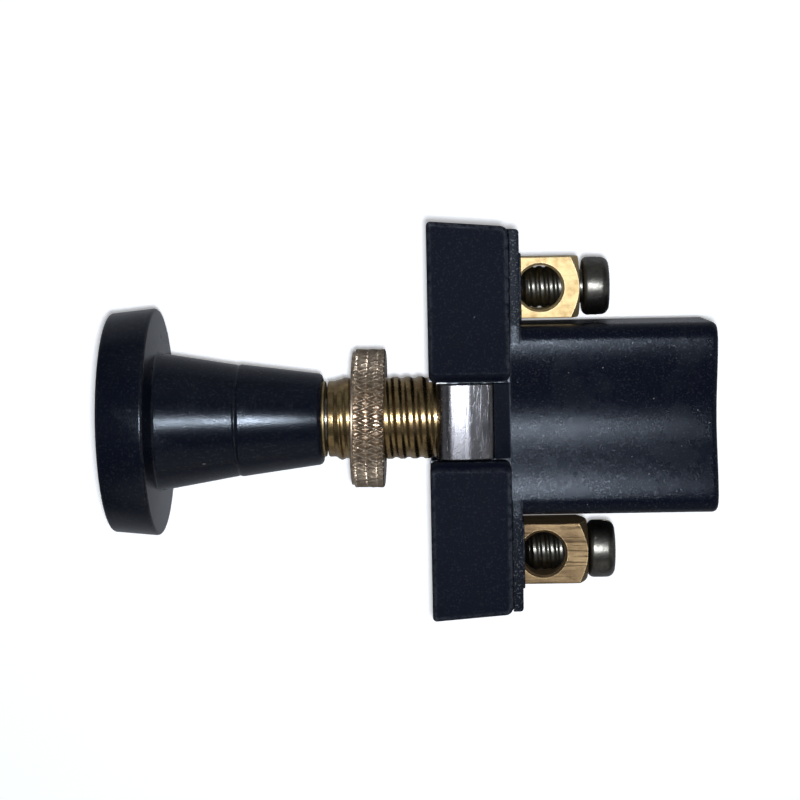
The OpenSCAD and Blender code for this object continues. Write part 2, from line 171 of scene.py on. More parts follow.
def insetCorners(corners, by):
    # moves a closed outline inwards, keeping its corners and their count
    area = sum(p[0] * q[1] - q[0] * p[1] for p, q in zip(corners, corners[1:] + corners[:1]))
    sign = 1 if area > 0 else -1
    result = []
    for i, (x, y, r) in enumerate(corners):
        here = Vector((x, y))
        e1 = (here - Vector(corners[i - 1][:2])).normalized()
        e2 = (Vector(corners[(i + 1) % len(corners)][:2]) - here).normalized()
        n1, n2 = Vector((-e1.y, e1.x)) * sign, Vector((-e2.y, e2.x)) * sign
        n = (n1 + n2).normalized()
        place = here + n * by / max(0.3, n.dot(n1))
        convex = (e1.x * e2.y - e1.y * e2.x) * sign > 0
        result.append((place.x, place.y, max(0.01, r - by if convex else r + by) if r else 0))
    return result


def prism(name, corners, plane, low, high, edge=0.0, steps=4, edgeLow=None):
    # an outline of (x, y, radius) corners run between two levels, with its end edges rounded
    place = {"yz": lambda p, t: (t, p[0], p[1]), "xy": lambda p, t: (p[0], p[1], t),
             "xz": lambda p, t: (p[0], t, p[1])}[plane]
    lowEdge = edge if edgeLow is None else edgeLow
    angles = [math.pi / 2 * k / steps for k in range(steps + 1)]
    levels = [(low, 0)]
    if lowEdge:
        levels = [(low + lowEdge * (1 - math.sin(a)), lowEdge * (1 - math.cos(a))) for a in angles[::-1]]
    if edge:
        levels += [(high - edge * (1 - math.sin(a)), edge * (1 - math.cos(a))) for a in angles]
    else:
        levels.append((high, 0))
    rings = [[place(p, level) for p in fillet(insetCorners(corners, by), steps)] for level, by in levels]
    return ringsObject(name, rings)


def block(name, low, high, r=0.0, steps=4):
    # a box with rounded edges, r may be 0
    (x0, y0, z0), (x1, y1, z1) = low, high
    return prism(name, [(x0, y0, r), (x1, y0, r), (x1, y1, r), (x0, y1, r)], "xy", z0, z1, r, steps)


def rodAlong(name, d, axis, low, high, centre=(0, 0), segments=96, flare=0.0):
    # a cylinder along x or z; flare widens both ends, for a broken edge round a hole
    profile = [(low, 0), (low, d / 2 + flare)]
    if flare:
        steps = 6
        shares = [math.sin(math.pi / 2 * k / steps) for k in range(1, steps + 1)]
        profile += [(low + flare * s, d / 2 + flare * (1 - s)) for s in shares]
        profile += [(high - flare * s, d / 2 + flare * (1 - s)) for s in shares[::-1]]
    profile += [(high, d / 2 + flare), (high, 0)]
    obj = turned(name, profile, segments)
    swap = {"x": lambda c: (c[0], c[1] + centre[0], c[2] + centre[1]),
            "z": lambda c: (c[1] + centre[0], c[2] + centre[1], c[0])}[axis]
    for v in obj.data.vertices:
        v.co = swap(v.co)
    bm = bmesh.new()
    bm.from_mesh(obj.data)
    bmesh.ops.recalc_face_normals(bm, faces=bm.faces)
    bm.to_mesh(obj.data)
    bm.free()
    return obj


def settle(obj):
    # turns the object's modifiers into its own plain mesh
    bpy.context.view_layer.update()
    result = bpy.data.meshes.new_from_object(obj.evaluated_get(bpy.context.evaluated_depsgraph_get()))
    obj.modifiers.clear()
    old, obj.data = obj.data, result
    bpy.data.meshes.remove(old)


def looseEdges(obj):
    bm = bmesh.new()
    bm.from_mesh(obj.data)
    count = sum(len(e.link_faces) != 2 for e in bm.edges)
    if not count and bm.calc_volume(signed=True) < 0:
        count = -1
    bm.free()
    return count


def combine(base, tools, operation="DIFFERENCE"):
    for tool in tools:
        for piece in (base, tool):
            if looseEdges(piece):
                print("not closed:", base.name, piece.name, looseEdges(piece))
        step = base.modifiers.new("step", "BOOLEAN")
        step.operation, step.solver, step.object = operation, "EXACT", tool
        settle(base)
        bpy.data.objects.remove(tool)


def movedAside(obj, y):
    obj.data.transform(Matrix.Translation((0, y, 0)))


def mirroredZ(obj, name):
    twin = bpy.data.objects.new(name, obj.data.copy())
    bpy.context.scene.collection.objects.link(twin)
    bm = bmesh.new()
    bm.from_mesh(twin.data)
    for v in bm.verts:
        v.co.z = -v.co.z
    bmesh.ops.reverse_faces(bm, faces=bm.faces)
    bm.to_mesh(twin.data)
    bm.free()
    return twin


def finished(obj, material, body, nodes, sharp=32):
    # metres, smooth shading with crisp edges, material, and what it stands for
    bm = bmesh.new()
    bm.from_mesh(obj.data)
    bmesh.ops.remove_doubles(bm, verts=bm.verts, dist=0.0005)
    bmesh.ops.scale(bm, vec=(mm, mm, mm), verts=bm.verts)
    bm.to_mesh(obj.data)
    bm.free()
    obj.data.polygons.foreach_set("use_smooth", [True] * len(obj.data.polygons))
    obj.data.set_sharp_from_angle(angle=math.radians(sharp))
    obj.data.materials.clear()
    obj.data.materials.append(material)
    obj.data.polygons.foreach_set("material_index", [0] * len(obj.data.polygons))
    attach(obj, body)
    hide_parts(*nodes)


# node tools
def put(tree, kind, inputs=None, **settings):
    node = tree.nodes.new(kind)
    for key, value in settings.items():
        setattr(node, key, value)
    for key, value in (inputs or {}).items():
        if isinstance(value, bpy.types.NodeSocket):
            tree.links.new(value, node.inputs[key])
        else:
            node.inputs[key].default_value = value
    return node


def maths(tree, operation, a, b=None, clamp=False):
    values = {0: a} if b is None else {0: a, 1: b}
    return put(tree, "ShaderNodeMath", values, operation=operation, use_clamp=clamp).outputs[0]


def plus(tree, a, b, clamp=False):
    return maths(tree, "ADD", a, b, clamp)


def minus(tree, a, b, clamp=False):
    return maths(tree, "SUBTRACT", a, b, clamp)


def times(tree, a, b, clamp=False):
    return maths(tree, "MULTIPLY", a, b, clamp)


def remap(tree, value, low, high, outLow=0.0, outHigh=1.0, shape="LINEAR"):
    return put(tree, "ShaderNodeMapRange", {"Value": value, "From Min": low, "From Max": high,
                                           "To Min": outLow, "To Max": outHigh},
               interpolation_type=shape).outputs[0]


def blendColour(tree, share, a, b, mode="MIX"):
    return put(tree, "ShaderNodeMix", {0: share, 6: a, 7: b}, data_type="RGBA",
               blend_type=mode).outputs[2]


def noise(tree, place, scale, detail, roughness=0.5, distortion=0.0):
    return put(tree, "ShaderNodeTexNoise", {"Vector": place, "Scale": scale, "Detail": detail,
                                            "Roughness": roughness, "Distortion": distortion}).outputs[0]


def newGroup(name, kind, inputs, outputs):
    tree = bpy.data.node_groups.new(name, kind)
    for label, socketKind, value in inputs:
        socket = tree.interface.new_socket(label, in_out="INPUT", socket_type="NodeSocket" + socketKind)
        if value is not None:
            socket.default_value = value
    for label, socketKind in outputs:
        tree.interface.new_socket(label, in_out="OUTPUT", socket_type="NodeSocket" + socketKind)
    return tree, put(tree, "NodeGroupInput").outputs, put(tree, "NodeGroupOutput").inputs


# shared surface effects
def makeRubbedEdges():
    # mask of outer edges rubbed by handling, broken up into patches
    tree, given, out = newGroup("rubbedEdges", "ShaderNodeTree",
                                [("Place", "Vector", None), ("Radius", "Float", 0.0003),
                                 ("Patch scale", "Float", 900.0), ("Amount", "Float", 0.6)],
                                [("Mask", "Float")])
    rounded = put(tree, "ShaderNodeBevel", {"Radius": given["Radius"]}, samples=4)
    shape = put(tree, "ShaderNodeNewGeometry")
    same = put(tree, "ShaderNodeVectorMath", {0: rounded.outputs[0], 1: shape.outputs["Normal"]},
               operation="DOT_PRODUCT").outputs["Value"]
    edge = remap(tree, same, 0.995, 0.9)
    worn = noise(tree, given["Place"], given["Patch scale"], 5.0, 0.65)
    limit = minus(tree, 1.0, given["Amount"])
    patch = times(tree, minus(tree, worn, limit), 5.0, clamp=True)
    tree.links.new(times(tree, edge, patch), out["Mask"])
    return tree


def makeStains():
    # soft-edged mottling at two sizes
    tree, given, out = newGroup("stains", "ShaderNodeTree",
                                [("Place", "Vector", None), ("Scale", "Float", 300.0),
                                 ("Cover", "Float", 0.5), ("Softness", "Float", 0.15)],
                                [("Mask", "Float")])
    large = noise(tree, given["Place"], given["Scale"], 6.0, 0.6, 0.6)
    small = noise(tree, given["Place"], times(tree, given["Scale"], 5.3), 4.0, 0.6)
    both = plus(tree, times(tree, large, 0.7), times(tree, small, 0.3))
    middle = minus(tree, 0.78, times(tree, given["Cover"], 0.56))
    over = minus(tree, both, middle)
    tree.links.new(plus(tree, maths(tree, "DIVIDE", over, given["Softness"]), 0.5, clamp=True),
                   out["Mask"])
    return tree


def makeSpecks():
    # small scattered grains of different sizes, only some cells filled
    tree, given, out = newGroup("specks", "ShaderNodeTree",
                                [("Place", "Vector", None), ("Scale", "Float", 1500.0),
                                 ("Share", "Float", 0.05), ("Size", "Float", 0.2)],
                                [("Mask", "Float")])
    warp = put(tree, "ShaderNodeTexNoise", {"Vector": given["Place"], "Scale": 2600.0, "Detail": 2.0})
    nudge = put(tree, "ShaderNodeVectorMath", {0: warp.outputs["Color"], 3: 0.0005}, operation="SCALE")
    where = put(tree, "ShaderNodeVectorMath", {0: given["Place"], 1: nudge.outputs[0]})
    cells = put(tree, "ShaderNodeTexVoronoi", {"Vector": where.outputs[0], "Scale": given["Scale"],
                                              "Randomness": 1.0})
    parts = put(tree, "ShaderNodeSeparateColor", {0: cells.outputs["Color"]})
    chosen = maths(tree, "LESS_THAN", parts.outputs[0], given["Share"])
    reach = times(tree, given["Size"], plus(tree, 0.35, parts.outputs[1]))
    near = minus(tree, 1.0, maths(tree, "DIVIDE", cells.outputs["Distance"], reach), clamp=True)
    soft = times(tree, near, 2.5, clamp=True)
    tree.links.new(times(tree, soft, chosen), out["Mask"])
    return tree


def makeLatheMarks():
    # fine rings left by a cutting tool, on a part turned about the X axis
    tree, given, out = newGroup("latheMarks", "ShaderNodeTree",
                                [("Place", "Vector", None), ("Scale", "Float", 9000.0),
                                 ("Wander", "Float", 0.25)],
                                [("Height", "Float")])
    parts = put(tree, "ShaderNodeSeparateXYZ", {0: given["Place"]})
    flat = put(tree, "ShaderNodeCombineXYZ", {1: parts.outputs[1], 2: parts.outputs[2]})
    radius = put(tree, "ShaderNodeVectorMath", {0: flat.outputs[0]}, operation="LENGTH").outputs["Value"]
    lines = put(tree, "ShaderNodeCombineXYZ", {0: parts.outputs[0], 1: radius})
    wander = put(tree, "ShaderNodeVectorMath", {0: given["Place"], 3: given["Wander"]},
                 operation="SCALE")
    base = noise(tree, lines.outputs[0], given["Scale"], 3.0, 0.6)
    broken = noise(tree, wander.outputs[0], 3000.0, 2.0)
    tree.links.new(times(tree, base, plus(tree, 0.5, broken)), out["Height"])
    return tree


def makeScratches():
    # straight fine scratches along one direction of the given place
    tree, given, out = newGroup("scratches", "ShaderNodeTree",
                                [("Place", "Vector", None),
                                 ("Stretch", "Vector", (60.0, 4000.0, 4000.0)),
                                 ("Turn", "Float", 0.0), ("Share", "Float", 0.4)],
                                [("Mask", "Float")])
    turn = put(tree, "ShaderNodeVectorRotate", {"Vector": given["Place"], "Angle": given["Turn"]},
               rotation_type="Z_AXIS")
    drawn = put(tree, "ShaderNodeVectorMath", {0: turn.outputs[0], 1: given["Stretch"]},
                operation="MULTIPLY")
    lines = noise(tree, drawn.outputs[0], 1.0, 3.0, 0.7)
    level = minus(tree, 0.72, times(tree, given["Share"], 0.3))
    tree.links.new(times(tree, minus(tree, lines, level), 9.0, clamp=True),
                   out["Mask"])
    return tree


def makeFineGrain():
    # height of a moulded or cast skin: fine pits over a slow wave
    tree, given, out = newGroup("fineGrain", "ShaderNodeTree",
                                [("Place", "Vector", None), ("Fine", "Float", 5200.0),
                                 ("Slow", "Float", 260.0), ("Slow share", "Float", 0.5)],
                                [("Height", "Float")])
    fine = noise(tree, given["Place"], given["Fine"], 3.0, 0.6)
    slow = noise(tree, given["Place"], given["Slow"], 2.0)
    tree.links.new(plus(tree, fine, times(tree, slow, given["Slow share"])), out["Height"])
    return tree


effects = {"rubbedEdges": makeRubbedEdges(), "stains": makeStains(), "specks": makeSpecks(),
           "latheMarks": makeLatheMarks(), "scratches": makeScratches(), "fineGrain": makeFineGrain()}


def effect(tree, name, **inputs):
    node = put(tree, "ShaderNodeGroup")
    node.node_tree = effects[name]
    for key, value in inputs.items():
        label = key[0].upper() + "".join(" " + c.lower() if c.isupper() else c for c in key[1:])
        if isinstance(value, bpy.types.NodeSocket):
            tree.links.new(value, node.inputs[label])
        else:
            node.inputs[label].default_value = value
    return node.outputs[0]


def newMaterial(name, centre=(0, 0, 0)):
    material = bpy.data.materials.new(name)
    material.use_nodes = True
    tree = material.node_tree
    tree.nodes.clear()
    surface = put(tree, "ShaderNodeBsdfPrincipled")
    tree.links.new(surface.outputs[0], put(tree, "ShaderNodeOutputMaterial").inputs["Surface"])
    place = put(tree, "ShaderNodeTexCoord").outputs["Object"]
    if any(centre):
        place = put(tree, "ShaderNodeMapping", {"Vector": place,
                                                "Location": [-c * mm for c in centre]}).outputs[0]
    return material, tree, surface.inputs, place


def bumped(tree, height, distance, strength=1.0, normal=None):
    given = {"Height": height, "Distance": distance, "Strength": strength}
    if normal is not None:
        given["Normal"] = normal
    return put(tree, "ShaderNodeBump", given).outputs[0]


def colour(r, g, b):
    return (r, g, b, 1.0)


# finishes, each with the limits and shares that its metals or mouldings have in common
mouldedValues = {
    "glintFrom": 0.56, "glintTo": 0.7, "glintGloss": (0.85, 1.6), "edgePatches": 1400.0,
    "scuffSoftness": 0.12, "grainLift": 0.6, "mattFade": 0.3, "mattRoughness": 0.22, "mattCover": 0.95,
    "mattGlossLoss": 0.8, "stripFade": 0.1, "stripFront": 1.4, "stripFull": 1.2, "stripMatt": 0.7,
}
turnedValues = {
    "stainSoftness": 0.3, "spotTimesFiner": 6, "spotCover": 0.35, "spotSoftness": 0.2,
    "spotRoughness": 0.08, "edgePatches": 2600.0, "markWander": 0.3, "pitScale": 9000.0,
    "waveScale": 1500.0, "waveShare": 0.6,
}
drawnValues = {
    "crossTurn": 0.5, "crossShare": 0.25, "crossDepth": 0.6, "dotScale": 2800.0, "dotSize": 0.32,
    "dotDepth": 0.6, "edgePatches": 2600.0, "lineRoughness": 0.12, "pitScale": 8000.0,
    "waveScale": 900.0, "waveShare": 0.7,
}
boardValues = {
    "streakTurn": 0.2, "streakShare": 0.8, "fleckScale": 1800.0, "fleckShare": 0.2, "fleckSize": 0.3,
    "fleckDepth": 0.5, "grainScale": 4500.0, "waveScale": 500.0, "waveShare": 0.5, "grainDepth": 0.00002,
    "streakRoughness": 0.15,
}


def phenolic(name, v):
    # black moulded phenolic: dull blue-black skin, mineral grains, painted sparkle glints, and greyed
    # edges that on the crossbar are partly painted highlight lines
    shared = mouldedValues
    material, tree, surface, place = newMaterial(name)
    cloud = effect(tree, "stains", place=place, scale=v["cloudScale"], cover=0.5, softness=0.5)
    base = blendColour(tree, cloud, v["dark"], v["light"])
    grains = effect(tree, "specks", place=place, scale=v["speckScale"], share=v["speckShare"],
                    size=v["speckSize"])
    base = blendColour(tree, times(tree, grains, v["speckDepth"]), base, v["speckAndGlintColour"])
    # painted highlight: a fine noise of light sparkles is painted into the base colour as glints of
    # light; the same noise also varies the gloss
    glint = remap(tree, noise(tree, place, v["glintScale"], 1.0), shared["glintFrom"], shared["glintTo"])
    base = blendColour(tree, times(tree, glint, v["paintedGlintDepth"]), base, v["speckAndGlintColour"])
    edges = effect(tree, "rubbedEdges", place=place, radius=v["edgeRadius"],
                   patchScale=shared["edgePatches"], amount=v["edgeWear"])
    # where the edge colour is a light grey, as on the crossbar, the lightened edges are partly rubbed
    # wear and partly painted highlight lines
    base = blendColour(tree, times(tree, edges, v["edgeDepth"]), base, v["edgeColour"])
    scuffs = effect(tree, "stains", place=place, scale=v["scuffScale"], cover=v["scuffCover"],
                    softness=shared["scuffSoftness"])
    rough = plus(tree, v["roughness"], times(tree, scuffs, v["scuffRoughness"]))
    rough = plus(tree, rough, times(tree, edges, v["edgeRoughness"]), clamp=True)
    gloss = times(tree, v["gloss"], remap(tree, glint, 0.0, 1.0, *shared["glintGloss"]))
    gloss = plus(tree, gloss, times(tree, edges, v["edgeGloss"]))
    if "mattBefore" in v:
        ahead = put(tree, "ShaderNodeSeparateXYZ", {0: place}).outputs[0]
        aside = maths(tree, "ABSOLUTE", put(tree, "ShaderNodeSeparateXYZ", {0: place}).outputs[1])
        beyond, before = v["stripBeyond"], v["mattBefore"]
        strip = times(tree, remap(tree, aside, beyond * mm, (beyond + shared["stripFade"]) * mm),
                      remap(tree, ahead, (before + shared["stripFront"]) * mm,
                            (before + shared["stripFull"]) * mm))
        matt = remap(tree, ahead, before * mm, (before - shared["mattFade"]) * mm)
        matt = maths(tree, "MAXIMUM", matt, times(tree, strip, shared["stripMatt"]))
        rough = plus(tree, rough, times(tree, matt, shared["mattRoughness"]), clamp=True)
        base = blendColour(tree, times(tree, matt, shared["mattCover"]), base, v["dark"])
        gloss = times(tree, minus(tree, 1.0, times(tree, matt, shared["mattGlossLoss"])), gloss)
        # painted highlight: light glint stipple painted into the base colour along the plate's top strip
        paintedStippleGlints = times(tree, strip, times(tree, glint, v["paintedStippleGlintDepth"]))
        base = blendColour(tree, paintedStippleGlints, base, v["speckAndGlintColour"])
    base = blendColour(tree, times(tree, scuffs, v["scuffDepth"]), base, v["scuffColour"])
    skin = effect(tree, "fineGrain", place=place, fine=v["grainScale"], slow=v["waveScale"],
                  slowShare=v["waveShare"])
    lifted = plus(tree, skin, times(tree, grains, shared["grainLift"]))
    tree.links.new(base, surface["Base Color"])
    tree.links.new(rough, surface["Roughness"])
    tree.links.new(bumped(tree, lifted, v["grainDepth"]), surface["Normal"])
    tree.links.new(gloss, surface["Specular IOR Level"])
    surface["Specular Tint"].default_value = v["tint"]
    return material


def metalSurface(tree, surface, v, base, rough, marks, pits):
    # the links and the two layers of relief that every metal has in common
    tree.links.new(base, surface["Base Color"])
    tree.links.new(rough, surface["Roughness"])
    first = bumped(tree, marks, v["markDepth"])
    tree.links.new(bumped(tree, pits, v["pitDepth"], normal=first), surface["Normal"])
    surface["Metallic"].default_value = 1.0


def turnedBrass(name, v, centre=(0, 0, 0)):
    # lathe-cut metal, browned in its hollows and bright where it rubs
    shared = turnedValues
    material, tree, surface, place = newMaterial(name, centre)
    stain = effect(tree, "stains", place=place, scale=v["stainScale"], cover=v["stainCover"],
                   softness=shared["stainSoftness"])
    base = blendColour(tree, stain, v["bright"], v["browned"])
    fine = effect(tree, "stains", place=place, scale=v["stainScale"] * shared["spotTimesFiner"],
                  cover=shared["spotCover"], softness=shared["spotSoftness"])
    base = blendColour(tree, times(tree, fine, v["spotDepth"]), base, v["spotColour"])
    edges = effect(tree, "rubbedEdges", place=place, radius=v["edgeRadius"],
                   patchScale=shared["edgePatches"], amount=v["edgeWear"])
    base = blendColour(tree, edges, base, v["edgeColour"])
    marks = effect(tree, "latheMarks", place=place, scale=v["markScale"],
                   wander=shared["markWander"])
    rough = plus(tree, v["roughness"], times(tree, stain, v["stainRoughness"]))
    rough = plus(tree, rough, times(tree, fine, shared["spotRoughness"]), clamp=True)
    pits = effect(tree, "fineGrain", place=place, fine=shared["pitScale"],
                  slow=shared["waveScale"], slowShare=shared["waveShare"])
    metalSurface(tree, surface, v, base, rough, marks, pits)
    return material


def drawnMetal(name, v, centre=(0, 0, 0)):
    # sawn, drawn or rolled metal with straight marks, stains and rubbed edges
    shared = drawnValues
    material, tree, surface, place = newMaterial(name, centre)
    stain = effect(tree, "stains", place=place, scale=v["stainScale"], cover=v["stainCover"],
                   softness=v["stainSoft"])
    base = blendColour(tree, stain, v["bright"], v["browned"])
    marks = effect(tree, "scratches", place=place, stretch=v["stretch"], turn=v["turn"],
                   share=v["scratchShare"])
    cross = effect(tree, "scratches", place=place, stretch=v["stretch"],
                   turn=v["turn"] + shared["crossTurn"], share=shared["crossShare"])
    lines = maths(tree, "MAXIMUM", marks, times(tree, cross, shared["crossDepth"]))
    base = blendColour(tree, times(tree, lines, v["lineDepth"]), base, v["lineColour"])
    dots = effect(tree, "specks", place=place, scale=shared["dotScale"],
                  share=v["dotShare"], size=shared["dotSize"])
    base = blendColour(tree, times(tree, dots, shared["dotDepth"]), base, v["lineColour"])
    edges = effect(tree, "rubbedEdges", place=place, radius=v["edgeRadius"],
                   patchScale=shared["edgePatches"], amount=v["edgeWear"])
    base = blendColour(tree, edges, base, v["edgeColour"])
    rough = plus(tree, v["roughness"], times(tree, stain, v["stainRoughness"]))
    rough = plus(tree, rough, times(tree, lines, shared["lineRoughness"]), clamp=True)
    pits = effect(tree, "fineGrain", place=place, fine=shared["pitScale"],
                  slow=shared["waveScale"], slowShare=shared["waveShare"])
    metalSurface(tree, surface, v, base, rough, lines, pits)
    return material


def pressedBoard(name, v):
    # fibre or brown phenolic: streaked, matt, with darker flecks
    shared = boardValues
    material, tree, surface, place = newMaterial(name)
    streaks = effect(tree, "scratches", place=place, stretch=v["stretch"],
                     turn=shared["streakTurn"], share=shared["streakShare"])
    base = blendColour(tree, streaks, v["dark"], v["light"])
    flecks = effect(tree, "specks", place=place, scale=shared["fleckScale"],
                    share=shared["fleckShare"], size=shared["fleckSize"])
    base = blendColour(tree, times(tree, flecks, shared["fleckDepth"]), base, v["fleck"])
    skin = effect(tree, "fineGrain", place=place, fine=shared["grainScale"],
                  slow=shared["waveScale"], slowShare=shared["waveShare"])
    tree.links.new(base, surface["Base Color"])
    tree.links.new(plus(tree, v["roughness"], times(tree, streaks, shared["streakRoughness"])),
                   surface["Roughness"])
    tree.links.new(bumped(tree, skin, shared["grainDepth"]), surface["Normal"])
    return material


def floorFinish(name, base, reflected, glow):
    # pale paper, seen a little darker in reflections and lifted for the camera
    material, tree, surface, place = newMaterial(name)
    seen = put(tree, "ShaderNodeLightPath").outputs["Is Camera Ray"]
    cloud = effect(tree, "stains", place=place, scale=18.0, cover=0.5, softness=0.8)
    paper = blendColour(tree, cloud, base, tuple(c * 0.985 for c in base[:3]) + (1,))
    tree.links.new(blendColour(tree, seen, reflected, paper), surface["Base Color"])
    surface["Emission Color"].default_value = (1, 1, 1, 1)
    tree.links.new(times(tree, seen, glow), surface["Emission Strength"])
    surface["Roughness"].default_value = 0.9
    surface["Specular IOR Level"].default_value = 0.1
    return material


floorMesh = bpy.data.meshes.new("benchTop")
reach, level = 3.0, stageValues["floorLevel"] * mm
floorMesh.from_pydata([(-reach, -reach, level), (reach, -reach, level), (reach, reach, level),
                       (-reach, reach, level)],
                      [], [(0, 1, 2, 3)])
floorMesh.materials.append(floorFinish("benchPaper", stageValues["floorColour"],
                                       stageValues["floorReflected"], stageValues["floorGlow"]))
floor = bpy.data.objects.new("benchTop", floorMesh)
bpy.context.scene.collection.objects.link(floor)
print("stage: surface effects and floor made")


# geometry-node tools
def setInput(modifier, label, value):
    for item in modifier.node_group.interface.items_tree:
        if item.item_type == "SOCKET" and item.in_out == "INPUT" and item.name == label:
            modifier[item.identifier] = value
            return
    raise KeyError(label)


def grow(obj, tree, values, material):
    # runs a node tree on the object and keeps the result as its plain mesh
    modifier = obj.modifiers.new("grow", "NODES")
    modifier.node_group = tree
    for label, value in values.items():
        setInput(modifier, label, value)
    setInput(modifier, "Material", material)
    settle(obj)
    bm = bmesh.new()
    bm.from_mesh(obj.data)
    cleaned(bm, 0.002)
    bm.to_mesh(obj.data)
    bm.free()


def wrapGrid(tree, given, turnsLabel=None):
    # a flat grid whose first direction becomes the angle and second the run along the part
    steps = times(tree, given["Steps"], given[turnsLabel]) if turnsLabel else given["Steps"]
    grid = put(tree, "GeometryNodeMeshGrid", {"Size X": 1.0, "Size Y": 1.0,
                                             "Vertices X": plus(tree, given["Columns"], 1.0),
                                             "Vertices Y": plus(tree, steps, 1.0)})
    parts = put(tree, "ShaderNodeSeparateXYZ", {0: put(tree, "GeometryNodeInputPosition").outputs[0]})
    share = plus(tree, parts.outputs[0], 0.5)
    run = plus(tree, parts.outputs[1], 0.5)
    return grid.outputs["Mesh"], share, run


def wrapOut(tree, given, out, mesh, share, along, radius):
    # places the grid on its radius, joins it to the turned shell and hands it out
    angle = times(tree, share, 2 * math.pi)
    point = put(tree, "ShaderNodeCombineXYZ", {0: along,
                                              1: times(tree, radius, maths(tree, "COSINE", angle)),
                                              2: times(tree, radius, maths(tree, "SINE", angle))})
    moved = put(tree, "GeometryNodeSetPosition", {"Geometry": mesh, "Position": point.outputs[0]})
    both = put(tree, "GeometryNodeJoinGeometry")
    tree.links.new(given["Geometry"], both.inputs[0])
    tree.links.new(moved.outputs[0], both.inputs[0])
    merged = put(tree, "GeometryNodeMergeByDistance", {"Geometry": both.outputs[0], "Distance": 0.002})
    real = put(tree, "GeometryNodeRealizeInstances", {0: merged.outputs[0]})
    tree.links.new(put(tree, "GeometryNodeSetMaterial", {"Geometry": real.outputs[0],
                                                        "Material": given["Material"]}).outputs[0],
                   out[0])


def makeThreadTree():
    # a helical thread between two rings; its rows follow the helix, so crests stay clean
    tree, given, out = newGroup("cutThread", "GeometryNodeTree", [
        ("Geometry", "Geometry", None), ("Pitch", "Float", 1.5), ("Crest radius", "Float", 5.0),
        ("Root radius", "Float", 4.1), ("Start", "Float", 0.0), ("End", "Float", 10.0),
        ("Start radius", "Float", 4.6), ("End radius", "Float", 5.0), ("Run-out", "Float", 0.8),
        ("Crest share", "Float", 0.2), ("Root share", "Float", 0.15), ("Phase", "Float", 0.0),
        ("Turns", "Int", 10), ("Columns", "Int", 96), ("Steps", "Int", 12),
        ("Material", "Material", None)],
        [("Geometry", "Geometry")])
    mesh, share, run = wrapGrid(tree, given, "Turns")
    rows = times(tree, run, given["Turns"])
    phase = maths(tree, "FRACT", plus(tree, rows, 0.0001))
    lift = maths(tree, "ABSOLUTE", minus(tree, times(tree, phase, 2.0), 1.0))
    flank = remap(tree, lift, given["Root share"], minus(tree, 1.0, given["Crest share"]))
    rounded = put(tree, "ShaderNodeMapRange", {"Value": flank, "To Min": given["Root radius"],
                                              "To Max": given["Crest radius"]}).outputs[0]
    back = plus(tree, minus(tree, rows, 2.0), plus(tree, share, given["Phase"]))
    ahead = times(tree, back, given["Pitch"])
    along = maths(tree, "MINIMUM", maths(tree, "MAXIMUM", plus(tree, ahead, given["Start"]),
                                         given["Start"]),
                  given["End"])
    fadeIn = remap(tree, minus(tree, along, given["Start"]), 0.0, given["Run-out"], shape="SMOOTHSTEP")
    fadeOut = remap(tree, minus(tree, given["End"], along), 0.0, given["Run-out"], shape="SMOOTHSTEP")
    near = put(tree, "ShaderNodeMix", {0: fadeIn, 2: given["Start radius"], 3: rounded}).outputs[0]
    radius = put(tree, "ShaderNodeMix", {0: fadeOut, 2: given["End radius"], 3: near}).outputs[0]
    wrapOut(tree, given, out, mesh, share, along, radius)
    return tree


